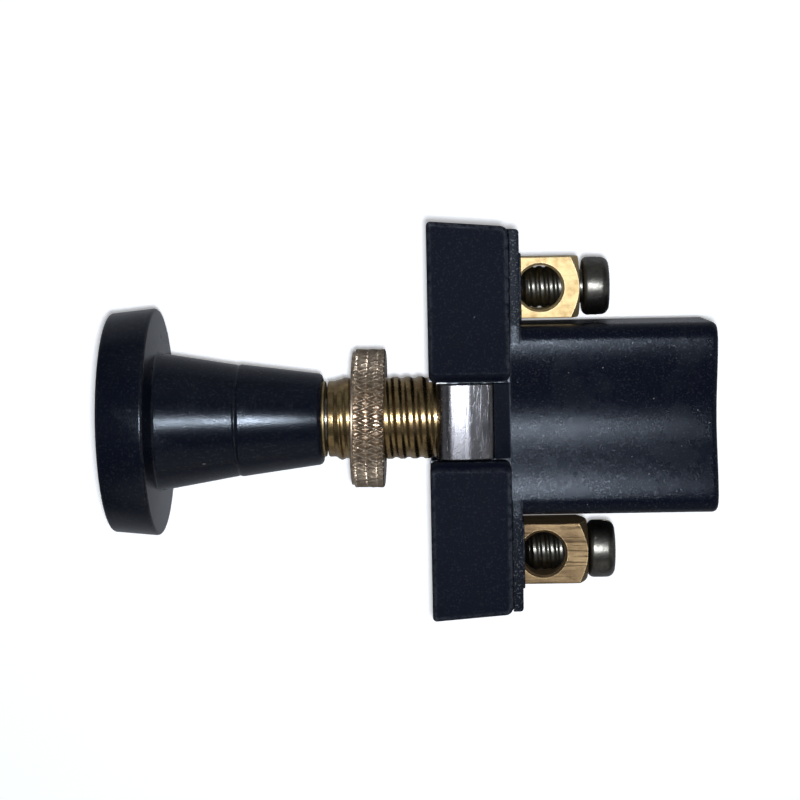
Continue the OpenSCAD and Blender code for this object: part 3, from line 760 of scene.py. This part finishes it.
def makeKnurlTree():
    # crossed V grooves rolled round a rim, fading out at its two ends
    tree, given, out = newGroup("rollKnurl", "GeometryNodeTree", [
        ("Geometry", "Geometry", None), ("Radius", "Float", 8.5), ("Depth", "Float", 0.3),
        ("Diamonds", "Int", 72), ("Diamond length", "Float", 1.95), ("Flat", "Float", 0.12),
        ("Hollow", "Float", 0.35), ("Start", "Float", 0.0), ("End", "Float", 4.0),
        ("End radius", "Float", 8.3), ("Edge", "Float", 0.3), ("Wear", "Float", 0.03),
        ("Seed", "Float", 3.0), ("Columns", "Int", 696), ("Steps", "Int", 36),
        ("Material", "Material", None)],
        [("Geometry", "Geometry")])
    mesh, share, run = wrapGrid(tree, given)
    along = put(tree, "ShaderNodeMapRange", {"Value": run, "To Min": given["Start"],
                                             "To Max": given["End"]}).outputs[0]
    around = times(tree, share, given["Diamonds"])
    length = maths(tree, "DIVIDE", along, given["Diamond length"])
    ridges = []
    for operation in ("ADD", "SUBTRACT"):
        groove = maths(tree, "FRACT", maths(tree, operation, around, length))
        fold = maths(tree, "ABSOLUTE", minus(tree, times(tree, groove, 2.0), 1.0))
        ridges.append(minus(tree, 1.0, fold))
    peak = remap(tree, maths(tree, "MAXIMUM", ridges[0], ridges[1]), given["Hollow"],
                 minus(tree, 1.0, given["Flat"]))
    angle = times(tree, share, 2 * math.pi)
    noiseRadius = 8.0
    ring = put(tree, "ShaderNodeCombineXYZ", {
        0: along, 1: times(tree, maths(tree, "COSINE", angle), noiseRadius),
        2: times(tree, maths(tree, "SINE", angle), noiseRadius)})
    uneven = put(tree, "ShaderNodeTexNoise", {
        "Vector": ring.outputs[0], "W": given["Seed"], "Scale": 1.4, "Detail": 2.0},
        noise_dimensions="4D").outputs["Fac"]
    wear = times(tree, given["Wear"], uneven)
    cut = plus(tree, times(tree, minus(tree, 1.0, peak), given["Depth"]), wear)
    fromStart = minus(tree, along, given["Start"])
    fromEnd = minus(tree, given["End"], along)
    inside = maths(tree, "DIVIDE", maths(tree, "MINIMUM", fromStart, fromEnd), given["Edge"], clamp=True)
    away = minus(tree, 1.0, inside)
    curve = maths(tree, "SQRT", minus(tree, 1.0, times(tree, away, away), clamp=True))
    full = minus(tree, given["Radius"], cut)
    rim = put(tree, "ShaderNodeMapRange", {"Value": curve, "To Min": given["End radius"],
                                          "To Max": given["Radius"]}).outputs[0]
    radius = maths(tree, "MINIMUM", full, rim)
    ends = maths(tree, "LESS_THAN", maths(tree, "MINIMUM", fromStart, fromEnd), 0.001)
    radius = put(tree, "ShaderNodeMix", {0: ends, 2: radius, 3: given["End radius"]}).outputs[0]
    wrapOut(tree, given, out, mesh, share, along, radius)
    return tree


threadTree = makeThreadTree()
knurlTree = makeKnurlTree()
print("stage: thread and knurl trees made")

# knob
knobValues = {
    "rimFront": (-38.55, 13.3), "rimRear": (-32.95, 13.85), "rimRound": 0.4,
    "stemRoot": 8.1, "stemMiddle": 6.75, "stemEnd": 5.5, "grooveAt": -23.15, "grooveDepth": 0.11,
    "stemRear": -12.95, "sleeveRadius": 3.8, "sleeveDepth": 12.0,
    "finish": {"dark": colour(0.0018, 0.0028, 0.007), "light": colour(0.003, 0.0042, 0.0095),
               "cloudScale": 140.0, "speckScale": 900.0, "speckShare": 0.03, "speckSize": 0.16,
               "speckDepth": 0.5, "speckAndGlintColour": colour(0.22, 0.21, 0.2), "edgeRadius": 0.00035,
               "edgeWear": 0.6, "edgeDepth": 0.5, "edgeColour": colour(0.14, 0.125, 0.11),
               "roughness": 0.22, "edgeRoughness": 0.12, "scuffScale": 160.0, "scuffCover": 0.3,
               "scuffRoughness": 0.1, "scuffDepth": 0.3, "scuffColour": colour(0.012, 0.014, 0.02),
               "grainScale": 5600.0, "waveScale": 180.0, "waveShare": 2.5, "grainDepth": 0.000016,
               "gloss": 0.36, "edgeGloss": 0.0, "glintScale": 4200.0, "paintedGlintDepth": 0.03,
               "tint": colour(0.8, 0.89, 1.0)},
}


def makeKnob(v):
    (frontX, frontR), (rearX, rearR), r = v["rimFront"], v["rimRear"], v["rimRound"]
    g, d, rear, sleeve = v["grooveAt"], v["grooveDepth"], v["stemRear"], v["sleeveRadius"]
    bottom = rear - v["sleeveDepth"]
    line = openFillet([
        (frontX + 0.25, 0, 0), (frontX, 9, 14), (frontX, frontR, r), (rearX, rearR, r),
        (rearX + 0.12, v["stemRoot"] + 0.3, 0.5), (g - 0.3, v["stemMiddle"] + 0.05, 0.6),
        (g - 0.02, v["stemMiddle"] - d / 2, 0.2), (g + 0.3, v["stemMiddle"] + 0.08, 0.6),
        (rear, v["stemEnd"], 0.6), (rear, sleeve + 0.25, 0), (rear - 0.25, sleeve, 0),
        (bottom, sleeve, 0), (bottom, 0, 0)], 6)
    finished(turned("pullKnob", line, 220), phenolic("knobPhenolic", v["finish"]), "plunger",
             ["knob"])


makeKnob(knobValues)

# sleeve in the knob and the rod
brassValues = {
    "bright": colour(0.6, 0.47, 0.24), "browned": colour(0.27, 0.19, 0.1), "stainScale": 420.0,
    "stainCover": 0.5, "spotDepth": 0.55, "spotColour": colour(0.16, 0.1, 0.045),
    "edgeRadius": 0.00012, "edgeWear": 0.62, "edgeColour": colour(0.92, 0.74, 0.36),
    "markScale": 14000.0, "markDepth": 0.00001, "pitDepth": 0.000006, "roughness": 0.26,
    "stainRoughness": 0.16,
}
turnedBrassFinish = turnedBrass("turnedBrass", brassValues)
bushFinishValues = dict(brassValues, bright=colour(0.64, 0.46, 0.2), browned=colour(0.3, 0.2, 0.1),
                        roughness=0.17, stainRoughness=0.1, stainCover=0.6)
bushBrassFinish = turnedBrass("bushBrass", bushFinishValues)
steelValues = dict(brassValues, bright=colour(0.66, 0.65, 0.62), browned=colour(0.42, 0.4, 0.37),
                   spotColour=colour(0.25, 0.22, 0.19), spotDepth=0.3, edgeColour=colour(0.8, 0.8, 0.78),
                   roughness=0.2)
brightSteelFinish = turnedBrass("brightSteel", steelValues)

sleeveValues = {"front": -24.95, "rear": -12.95, "flangeRear": -12.6, "radius": 3.8, "flangeRadius": 4.6,
                "bore": 2.5}


def makeSleeve(v):
    line = fillet([
        (v["front"], v["bore"], 0), (v["front"], v["radius"], 0.15), (v["rear"], v["radius"], 0),
        (v["rear"], v["flangeRadius"], 0.08), (v["flangeRear"], v["flangeRadius"], 0.12),
        (v["flangeRear"], v["bore"], 0.08)], 4)
    finished(turned("knobSleeve", line, 160, closedLoop=True), turnedBrassFinish, "plunger",
             ["knob_insert"])


makeSleeve(sleeveValues)

rodValues = {"front": -23.95, "shoulder": 17.05, "rear": 31.95, "radius": 2.5, "tail": 1.9,
             "grooves": (6.3, 15.5), "grooveHalf": 0.35, "grooveDepth": 0.35, "clip": (30.75, 31.35),
             "clipRadius": 1.5}


def makeRod(v):
    line = [(v["front"], 0, 0), (v["front"], v["radius"], 0.2)]
    for x in v["grooves"]:
        half, deep = v["grooveHalf"], v["radius"] - v["grooveDepth"]
        line += [(x - half, v["radius"], 0.06), (x - half, deep, 0.15), (x + half, deep, 0.15),
                 (x + half, v["radius"], 0.06)]
    line += [(v["shoulder"], v["radius"], 0.12), (v["shoulder"], v["tail"], 0.08)]
    (clipFront, clipRear), groove = v["clip"], v["clipRadius"]
    line += [(clipFront, v["tail"], 0), (clipFront, groove, 0), (clipRear, groove, 0),
             (clipRear, v["tail"], 0), (v["rear"], v["tail"], 0.3), (v["rear"], 0, 0)]
    finished(turned("slidingRod", openFillet(line, 4), 144), brightSteelFinish, "plunger",
             ["plunger_rod"])


makeRod(rodValues)
print("stage: knob, sleeve and rod made")

# threaded bush
bushValues = {
    "front": -12.3, "tipEnd": -11.6, "tipRadius": 4.6, "bore": 2.55, "flangeFront": 2.1,
    "flangeRear": 3.3, "flangeRadius": 6.5, "flangeFlat": 4.7,
    "thread": {"Pitch": 1.5, "Crest radius": 5.0, "Root radius": 4.82, "Start": -11.6, "End": 2.1,
               "Start radius": 4.6, "End radius": 5.0, "Run-out": 0.9, "Crest share": 0.36,
               "Root share": 0.24, "Phase": 0.0, "Turns": 13, "Columns": 128, "Steps": 14},
}


def makeBush(v):
    r, bore, wide = v["tipRadius"], v["bore"], v["flangeRadius"]
    front, rear = v["flangeFront"], v["flangeRear"]
    shell = openFillet([
        (v["tipEnd"], r, 0), (v["front"], r, 0.18), (v["front"], bore, 0.2), (rear, bore, 0.15),
        (rear, wide, 0.1), (front, wide, 0.1), (front, v["thread"]["End radius"], 0)], 4)
    obj = turned("threadedBush", shell, v["thread"]["Columns"])
    grow(obj, threadTree, v["thread"], bushBrassFinish)
    flat, reach = v["flangeFlat"], 20
    cutters = [block("flat", (front + 0.001, -reach, low), (rear + 1, reach, high))
               for low, high in ((flat, reach), (-reach, -flat))]
    combine(obj, cutters)
    finished(obj, bushBrassFinish, "housing", ["bush"], 50)


makeBush(bushValues)

# knurled nut
nutValues = {
    "front": -9.4, "rear": -5.4, "bore": 5.05, "faceRadius": 8.12, "tilt": -1.3,
    "knurl": {"Radius": 8.5, "Depth": 0.42, "Diamonds": 50, "Diamond length": 2.5, "Flat": 0.1,
              "Hollow": 0.42, "Start": -9.08, "End": -5.42, "End radius": 8.12, "Edge": 0.3,
              "Wear": 0.22, "Seed": 3.0, "Columns": 696, "Steps": 36},
    "finish": dict(brassValues, bright=colour(0.74, 0.6, 0.45), browned=colour(0.24, 0.18, 0.14),
                   edgeColour=colour(0.8, 0.68, 0.5), edgeRadius=0.00008, edgeWear=0.62, roughness=0.3,
                   stainScale=900.0, stainCover=0.5, markDepth=0.000004),
}


def makeNut(v):
    k, face, bore = v["knurl"], v["faceRadius"], v["bore"]
    shell = openFillet([
        (k["Start"], face, 0), (v["front"], face, 0.3), (v["front"], bore, 0.35),
        (v["rear"], bore, 0.35), (v["rear"], face - 0.1, 0.08), (k["End"], face, 0)], 4)
    finish = turnedBrass("nutBrass", v["finish"])
    obj = turned("knurledNut", shell, k["Columns"])
    grow(obj, knurlTree, k, finish)
    middle = Vector(((v["front"] + v["rear"]) / 2, 0, 0))
    obj.data.transform(Matrix.Translation(middle) @ Matrix.Rotation(math.radians(v["tilt"]), 4, "Z")
                       @ Matrix.Translation(-middle))
    finished(obj, finish, "nut", ["panel_nut"], 28)


makeNut(nutValues)
print("stage: bush and nut made")

# strap
strapValues = {
    "width": 9.0, "thick": 1.2, "front": 0.9, "end": 7.7, "top": 7.2, "fall": 0.55, "crestEnd": 4.7,
    "bend": 2.55, "edge": 0.16, "hookDown": 5.0, "hookWidth": 6.0, "eye": 13.0, "hole": 10.02,
    "trimReach": 9, "trimFrom": 3.5, "trimPast": 0.78,
    "finish": {"stainScale": 260.0, "stainCover": 0.5, "stainSoft": 0.4,
               "bright": colour(0.26, 0.26, 0.28), "browned": colour(0.09, 0.08, 0.078),
               "stretch": (9000.0, 90.0, 9000.0), "turn": 0.06, "scratchShare": 0.45,
               "dotShare": 0.1, "lineDepth": 0.4, "lineColour": colour(0.1, 0.09, 0.08),
               "edgeRadius": 0.0002, "edgeWear": 0.8, "edgeColour": colour(0.6, 0.6, 0.6),
               "markDepth": 0.000008, "pitDepth": 0.000006, "roughness": 0.2, "stainRoughness": 0.14},
}


def makeStrap(v):
    t, x0, x1, z0, z1 = v["thick"], v["front"], v["end"], v["top"], v["top"] - v["fall"]
    outer, inner = v["bend"], v["bend"] - v["thick"]
    crest = v["crestEnd"]
    half = [(x0, z0, outer), (crest, z0, 3.0), (x1, z1, 0.9), (x1, v["hookDown"], 0.3),
            (x1 - t, v["hookDown"], 0.3), (x1 - t, z1 - t + 0.2, 0.1), (crest, z0 - t, 3.0),
            (x0 + t, z0 - t, inner)]
    low = [(x, -z, r) for x, z, r in half[::-1]]
    obj = prism("pressedStrap", half + low, "xz", -v["width"] / 2, v["width"] / 2, v["edge"], 12)
    disc = rodAlong("eye", v["eye"], "x", x0 + 0.02, x0 + t - 0.02)
    tall = v["top"] - v["bend"]
    combine(disc, [block("clip", (x0 - 1, -10, tall), (x0 + t + 1, 10, 20)),
                   block("clip", (x0 - 1, -10, -20), (x0 + t + 1, 10, -tall))])
    combine(obj, [disc], "UNION")
    tools = [rodAlong("hole", v["hole"], "x", x0 - 1, x0 + t + 1, segments=128)]
    for side in (1, -1):
        for edge in (1, -1):
            y0, y1 = sorted((edge * v["hookWidth"] / 2, edge * v["trimReach"]))
            z2, z3 = sorted((side * v["trimFrom"], side * (v["hookDown"] + v["trimPast"])))
            tools.append(block("trim", (x1 - 2 * t - 0.5, y0, z2), (x1 + 2, y1, z3)))
    combine(obj, tools)
    finished(obj, drawnMetal("nickelSteel", v["finish"]), "housing", ["strap"])


makeStrap(strapValues)

# crossbar moulding
barValues = {
    "frontHalf": 23.7, "rearHalf": 22.94, "depth": 9.6, "halfHeight": 8.0, "edge": 0.45,
    "frontRound": 0.5, "rearRound": 1.0, "channelHalf": 4.7, "flare": 0.9, "flareAt": 7.2,
    "mouthRound": 0.9, "planRound": 0.9, "notchFloor": 4.9, "webRear": 2.1,
    "counterbore": (13.2, -1, 3.3), "guide": (5.6, 2, 7),
    # low and high corners of the room for the detent spring, the carrier and the two fingers
    "rooms": [((5.85, -3.45, -3.45), (6.76, 3.45, 3.45)), ((6.75, -5.7, -3.9), (11, 5.7, 3.9)),
              ((7.3, 4.7, -3.75), (11, 19.35, 3.75)), ((7.3, -20.15, -3.75), (11, -4.7, 3.75))],
    "finish": {"dark": colour(0.0016, 0.0026, 0.0072), "light": colour(0.0028, 0.0042, 0.0105),
               "cloudScale": 90.0, "speckScale": 700.0, "speckShare": 0.03, "speckSize": 0.13,
               "speckDepth": 0.6, "speckAndGlintColour": colour(0.2, 0.2, 0.2), "edgeRadius": 0.0007,
               # edgeColour and edgeDepth lighten the rubbed edges enough to paint highlight lines along
               # the notch mouths and outer edges, over the wear
               "edgeWear": 0.64, "edgeDepth": 0.8, "edgeColour": colour(0.1, 0.106, 0.12),
               "edgeGloss": 0.5, "roughness": 0.66, "edgeRoughness": -0.4, "scuffScale": 110.0,
               "scuffCover": 0.3, "scuffRoughness": 0.1, "scuffDepth": 0.4,
               "scuffColour": colour(0.009, 0.011, 0.016), "grainScale": 4200.0, "waveScale": 220.0,
               "waveShare": 1.5, "grainDepth": 0.00002, "gloss": 0.11, "glintScale": 4200.0,
               "paintedGlintDepth": 0.01, "tint": colour(0.8, 0.89, 1.0)},
}
mouldingFinish = phenolic("barPhenolic", barValues["finish"])


def notchCutter(v, name):
    # the strap's notch: straight low down, flared at the mouth, its plan corners rounded at both ends
    w, top, low = v["channelHalf"], v["halfHeight"], v["notchFloor"]
    wide, r = w + v["flare"], v["mouthRound"]

    def section(extra):
        side = [(w + extra, low, 0), (w + extra, v["flareAt"] - 0.25, 0.4),
                (wide + extra, top + 0.03, r), (wide + 4, top + 0.03, 0), (wide + 4, top + 2, 0)]
        mirror = [(-y, z, c) for y, z, c in side[::-1]]
        return fillet(side + mirror, 5)

    r = v["planRound"]
    angles = [math.pi / 2 * k / 6 for k in range(7)]
    spots = [(r * (1 - math.cos(a)), r * (1 - math.sin(a))) for a in angles]
    spots = [(-1.0, r)] + spots + [(v["depth"] - x, e) for x, e in spots[::-1]] + [(v["depth"] + 1.0, r)]
    rings = [[(x, y, z) for y, z in section(e)] for x, e in spots]
    return ringsObject(name, rings)


def makeBar(v):
    d, h = v["depth"], v["halfHeight"]
    outline = [(0, -v["frontHalf"], v["frontRound"]), (d, -v["rearHalf"], v["rearRound"]),
               (d, v["rearHalf"], v["rearRound"]), (0, v["frontHalf"], v["frontRound"])]
    obj = prism("crossbarMoulding", outline, "xy", -h, h, v["edge"], 5)
    cutter = notchCutter(v, "notchTop")
    w = v["channelHalf"]
    tools = [cutter, mirroredZ(cutter, "notchLow"),
             block("channel", (-1, 0.005 - w, -h - 1), (v["webRear"], w - 0.005, h + 1)),
             rodAlong("counterbore", v["counterbore"][0], "x", *v["counterbore"][1:]),
             rodAlong("guide", v["guide"][0], "x", *v["guide"][1:])]
    tools += [block("room", low, high) for low, high in v["rooms"]]
    combine(obj, tools)
    finished(obj, mouldingFinish, "housing", ["front_housing"])


makeBar(barValues)

# rear moulding
rearValues = {
    "front": 9.6, "plateRear": 10.8, "plateHalf": 22.6, "plateHeight": 7.65, "plateRound": 0.4,
    "rear": 34.0, "half": 11.3, "height": 7.5, "ridge": 2.1, "trough": 1.6, "endRound": 0.7,
    "cavity": (11.4, 7.8, 32.25), "hole": 7.5, "pad": 8.3, "padRear": 11.15,
    "terminals": (15.6, -16.4), "tongue": (3.4, 4.9, 5.7, 4.5), "window": (6.5, 7.7, 3.1, 3.9, 6.7),
    "finish": dict(barValues["finish"], roughness=0.27, gloss=0.25, paintedGlintDepth=0.03, edgeRadius=0.0003,
                   edgeDepth=0.5, edgeRoughness=0.0, edgeGloss=0.2, grainScale=6200.0,
                   speckScale=1500.0, grainDepth=0.00003, speckShare=0.08, speckDepth=0.8,
                   speckAndGlintColour=colour(0.3, 0.3, 0.3), scuffRoughness=0.08, mattBefore=9.75,
                   stripBeyond=11.3, paintedStippleGlintDepth=0.22),
}


def troughSection(v, steps=18):
    # half of the block's section, from the trough's middle over the ridge to the side
    w, h, r, d = v["half"], v["height"], v["ridge"], v["trough"]
    half = []
    for k in range(steps + 1):
        f = k / steps
        half.append((f * (w - r), h - d * (1 + math.cos(math.pi * f)) / 2))
    for k in range(1, 11):
        a = math.pi / 2 * (1 - k / 10)
        half.append((w - r + r * math.cos(a), h - r + r * math.sin(a)))
    lower = [(y, -z) for y, z in half[::-1]]
    right = half + lower
    return [(y, z, 0) for y, z in right + [(-y, z) for y, z in right[::-1]][1:-1]]


def makeRear(v):
    x0, x1 = v["front"], v["plateRear"]
    obj = prism("rearMoulding", troughSection(v), "yz", x0, v["rear"], v["endRound"], 5, edgeLow=0.0)
    corners = [(x0, -v["plateHalf"], 0.05), (x1, -v["plateHalf"], v["plateRound"]),
               (x1, v["plateHalf"], v["plateRound"]), (x0, v["plateHalf"], 0.05)]
    plate = prism("plate", corners, "xy", -v["plateHeight"], v["plateHeight"], 0.12, 3)
    inner, deep = v["half"] - v["ridge"], v["height"] - v["trough"]
    combine(plate, [block("dip", (x0 - 1, -inner, deep - 0.02), (x1 + 1, inner, 12)),
                    block("dip", (x0 - 1, -inner, -12), (x1 + 1, inner, 0.02 - deep))])
    parts = [plate]
    for y in v["terminals"]:
        p = v["pad"] / 2
        parts.append(prism("pad", [(y - p, -p, 0.4), (y + p, -p, 0.4), (y + p, p, 0.4), (y - p, p, 0.4)],
                           "yz", x1 - 0.3, v["padRear"], 0.12, 3, edgeLow=0.0))
    tx, tz0, tz1, ty = v["tongue"]
    for side in (1, -1):
        z0, z1 = sorted((side * tz0, side * tz1))
        parts.append(block("tongue", (tx, -ty, z0), (x0 + 0.3, ty, z1), 0.12, 3))
    combine(obj, parts, "UNION")
    cw, ch, cx = v["cavity"]
    h = v["hole"] / 2
    tools = [block("cavity", (x0 - 1, -cw / 2, -ch / 2), (cx, cw / 2, ch / 2), 0.3, 3)]
    tools += [block("socket", (x0 - 1, y - h, -h), (12, y + h, h), 0.12, 3) for y in v["terminals"]]
    wx0, wx1, wy, wz0, wz1 = v["window"]
    tools += [block("window", (wx0, -wy, low), (wx1, wy, high))
              for low, high in ((wz0, wz1), (-wz1, -wz0))]
    combine(obj, tools)
    finished(obj, phenolic("blockPhenolic", v["finish"]), "housing",
             ["rear_housing"])


makeRear(rearValues)
print("stage: strap and mouldings made")

# terminals
terminalValues = {
    "front": 8.5, "half": 3.65, "edge": 0.14, "faceRadius": 3.55, "slope": 1.45, "wireHole": 5.3,
    "wireAt": 13.4, "bore": 5.1, "boreFront": 9.85, "rimRound": 0.28, "tail": 3.0, "tailHead": 4.2,
    "tailFront": 7.9,
    "left": {"y": 15.6, "rear": 18.1, "node": "terminal_block_left",
             "finish": {"stainScale": 380.0, "stainCover": 0.35, "stainSoft": 0.25,
                        "bright": colour(0.66, 0.5, 0.26), "browned": colour(0.46, 0.3, 0.12),
                        "stretch": (150.0, 6000.0, 6000.0), "turn": 0.0, "scratchShare": 0.3,
                        "dotShare": 0.4, "lineDepth": 0.35, "lineColour": colour(0.5, 0.34, 0.14),
                        "edgeRadius": 0.00015, "edgeWear": 0.85, "edgeColour": colour(1.0, 0.88, 0.6),
                        "markDepth": 0.000006, "pitDepth": 0.00001, "roughness": 0.58,
                        "stainRoughness": 0.1}},
    # painted shade: the right terminal's brass colours are set much darker than the left's, a shaded
    # copy of the same brass; its stains and scratch marks are its own
    "right": {"y": -16.4, "rear": 18.8, "node": "terminal_block_right",
              "finish": {"stainScale": 300.0, "stainCover": 0.55, "stainSoft": 0.35,
                         "bright": colour(0.3, 0.21, 0.11), "browned": colour(0.17, 0.11, 0.06),
                         "stretch": (120.0, 4200.0, 4200.0), "turn": 0.0, "scratchShare": 0.6,
                         "dotShare": 0.15, "lineDepth": 0.6, "lineColour": colour(0.1, 0.065, 0.035),
                         "edgeRadius": 0.00015, "edgeWear": 0.75, "edgeColour": colour(0.8, 0.6, 0.32),
                         "markDepth": 0.00002, "pitDepth": 0.00001, "roughness": 0.5,
                         "stainRoughness": 0.1}},
}


def makeTerminal(v, side):
    s = v[side]
    y, rear, h = s["y"], s["rear"], v["half"]
    front, face, e = v["front"], v["faceRadius"], v["edge"]
    section = [(-h, -h, e), (h, -h, e), (h, h, e), (-h, h, e)]
    obj = prism("terminalBar_" + side, section, "yz", front, rear, 0.0)
    big = 8.0
    line = [(front - 1, 0, 0), (front - 1, big, 0), (rear - (big - face) / v["slope"], big, 0),
            (rear, face, 0.12), (rear, 0, 0)]
    combine(obj, [turned("endTurning", openFillet(line, 4), 144)], "INTERSECT")
    top, head, stem = v["tailFront"], v["tailHead"] / 2, v["tail"] / 2
    line = [(top - 0.5, 0, 0), (top - 0.5, head, 0.2), (top, head, 0), (top, stem, 0),
            (front + 0.3, stem, 0), (front + 0.3, 0, 0)]
    combine(obj, [turned("tail", openFillet(line, 4), 64)], "UNION")
    r, inner = v["bore"] / 2, v["boreFront"]
    line = [(inner - 0.9, 0, 0), (inner, r, 0), (rear - 0.3, r, 0), (rear + 0.01, r + 0.3, 0),
            (rear + 1, r + 0.3, 0), (rear + 1, 0, 0)]
    wire = rodAlong("wire", v["wireHole"], "z", -h, h, (v["wireAt"], 0), 112, v["rimRound"])
    combine(obj, [turned("bore", openFillet(line, 3), 96), wire])
    movedAside(obj, y)
    finished(obj, drawnMetal("terminalBrass_" + side, s["finish"], (0, y, 0)), "housing",
             [s["node"]])


for side in ("left", "right"):
    makeTerminal(terminalValues, side)

# clamping screws
screwValues = {
    "length": 7.6, "headRadius": 3.5, "headHeight": 3.2, "headRound": 1.0, "headUnder": 0.7,
    "neck": 2.05, "slot": (1.2, 1.4),
    "left": {"y": 15.6, "head": 18.5, "turn": 0.0}, "right": {"y": -16.4, "head": 18.9, "turn": 0.4},
    "thread": {"Pitch": 1.06, "Crest radius": 2.5, "Root radius": 2.34, "Start radius": 2.1,
               "End radius": 2.05, "Run-out": 0.5, "Crest share": 0.36, "Root share": 0.2,
               "Turns": 10, "Columns": 80, "Steps": 12},
    "finish": dict(brassValues, bright=colour(0.2, 0.195, 0.17), browned=colour(0.09, 0.085, 0.08),
                   stainScale=520.0, stainCover=0.5, spotColour=colour(0.25, 0.22, 0.13),
                   spotDepth=0.35, edgeColour=colour(0.4, 0.37, 0.3), edgeRadius=0.00012,
                   edgeWear=0.55, roughness=0.25, markDepth=0.00001, pitDepth=0.00001),
}


def makeScrew(v, side):
    s = v[side]
    tip, head = s["head"] - v["length"], s["head"]
    top = head + v["headHeight"]
    start, end = tip + 0.45, head - 0.6
    thread = dict(v["thread"], Start=start, End=end, Phase=s["turn"])
    shell = [(start, thread["Start radius"], 0), (tip, 1.55, 0.2), (tip, 0, 0)]
    obj = turned("clampScrew_" + side, openFillet(shell, 3), thread["Columns"])
    wide = v["headRadius"]
    rest = openFillet([
        (end, thread["End radius"], 0), (head, v["neck"], 0.0), (head, wide, v["headUnder"]),
        (top, wide, v["headRound"]), (top + 0.08, 1.5, 3.0), (top + 0.08, 0, 0)], 6)
    upper = turned("screwHead", rest, thread["Columns"])
    joined = bmesh.new()
    joined.from_mesh(obj.data)
    joined.from_mesh(upper.data)
    joined.to_mesh(obj.data)
    joined.free()
    bpy.data.objects.remove(upper)
    finish = screwFinish[side]
    grow(obj, threadTree, thread, finish)
    gap, deep = v["slot"]
    combine(obj, [block("slot", (top - deep, -9, -gap / 2), (top + 2, 9, gap / 2), 0.1, 3)])
    movedAside(obj, s["y"])
    finished(obj, finish, "screw_" + side, ["terminal_screw_" + side], 40)


screwFinish = {side: turnedBrass("darkScrewSteel_" + side, screwValues["finish"],
                                 (0, screwValues[side]["y"], 0))
               for side in ("left", "right")}
for side in ("left", "right"):
    makeScrew(screwValues, side)
print("stage: terminals and screws made")

# inner pieces keep their solids and get their finishes
stripValues = dict(terminalValues["right"]["finish"], bright=colour(0.8, 0.6, 0.28),
                   browned=colour(0.6, 0.42, 0.18), stretch=(300.0, 5000.0, 5000.0), roughness=0.28)
silverValues = dict(stripValues, bright=colour(0.82, 0.82, 0.8), browned=colour(0.5, 0.48, 0.44),
                    lineColour=colour(0.4, 0.38, 0.35), edgeColour=colour(0.9, 0.9, 0.88))
springValues = dict(stripValues, bright=colour(0.42, 0.43, 0.45), browned=colour(0.28, 0.28, 0.29),
                    lineColour=colour(0.2, 0.2, 0.2), edgeColour=colour(0.6, 0.6, 0.6))
brownValues = {"stretch": (200.0, 2500.0, 2500.0), "dark": colour(0.11, 0.05, 0.022),
               "light": colour(0.24, 0.12, 0.06), "fleck": colour(0.05, 0.025, 0.012), "roughness": 0.42}
fibreValues = {"stretch": (2500.0, 300.0, 2500.0), "dark": colour(0.2, 0.06, 0.03),
               "light": colour(0.36, 0.13, 0.07), "fleck": colour(0.08, 0.03, 0.02), "roughness": 0.62}
innerFinishes = [
    (drawnMetal("contactBrass", stripValues),
     ["contact_ring", "contact_finger_left", "contact_finger_right"]),
    (drawnMetal("contactSilver", silverValues), ["contact_tip_left", "contact_tip_right"]),
    (drawnMetal("springSteel", springValues), ["rod_clip", "detent_spring"]),
    (brightSteelFinish, ["rod_washer"]),
    (pressedBoard("brownPhenolic", brownValues), ["contact_carrier"]),
    (pressedBoard("redFibre", fibreValues), ["stop_washer"]),
]
for material, nodes in innerFinishes:
    for name in nodes:
        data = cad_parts[name].data
        data.materials.clear()
        data.materials.append(material)
print("stage: inner pieces finished")
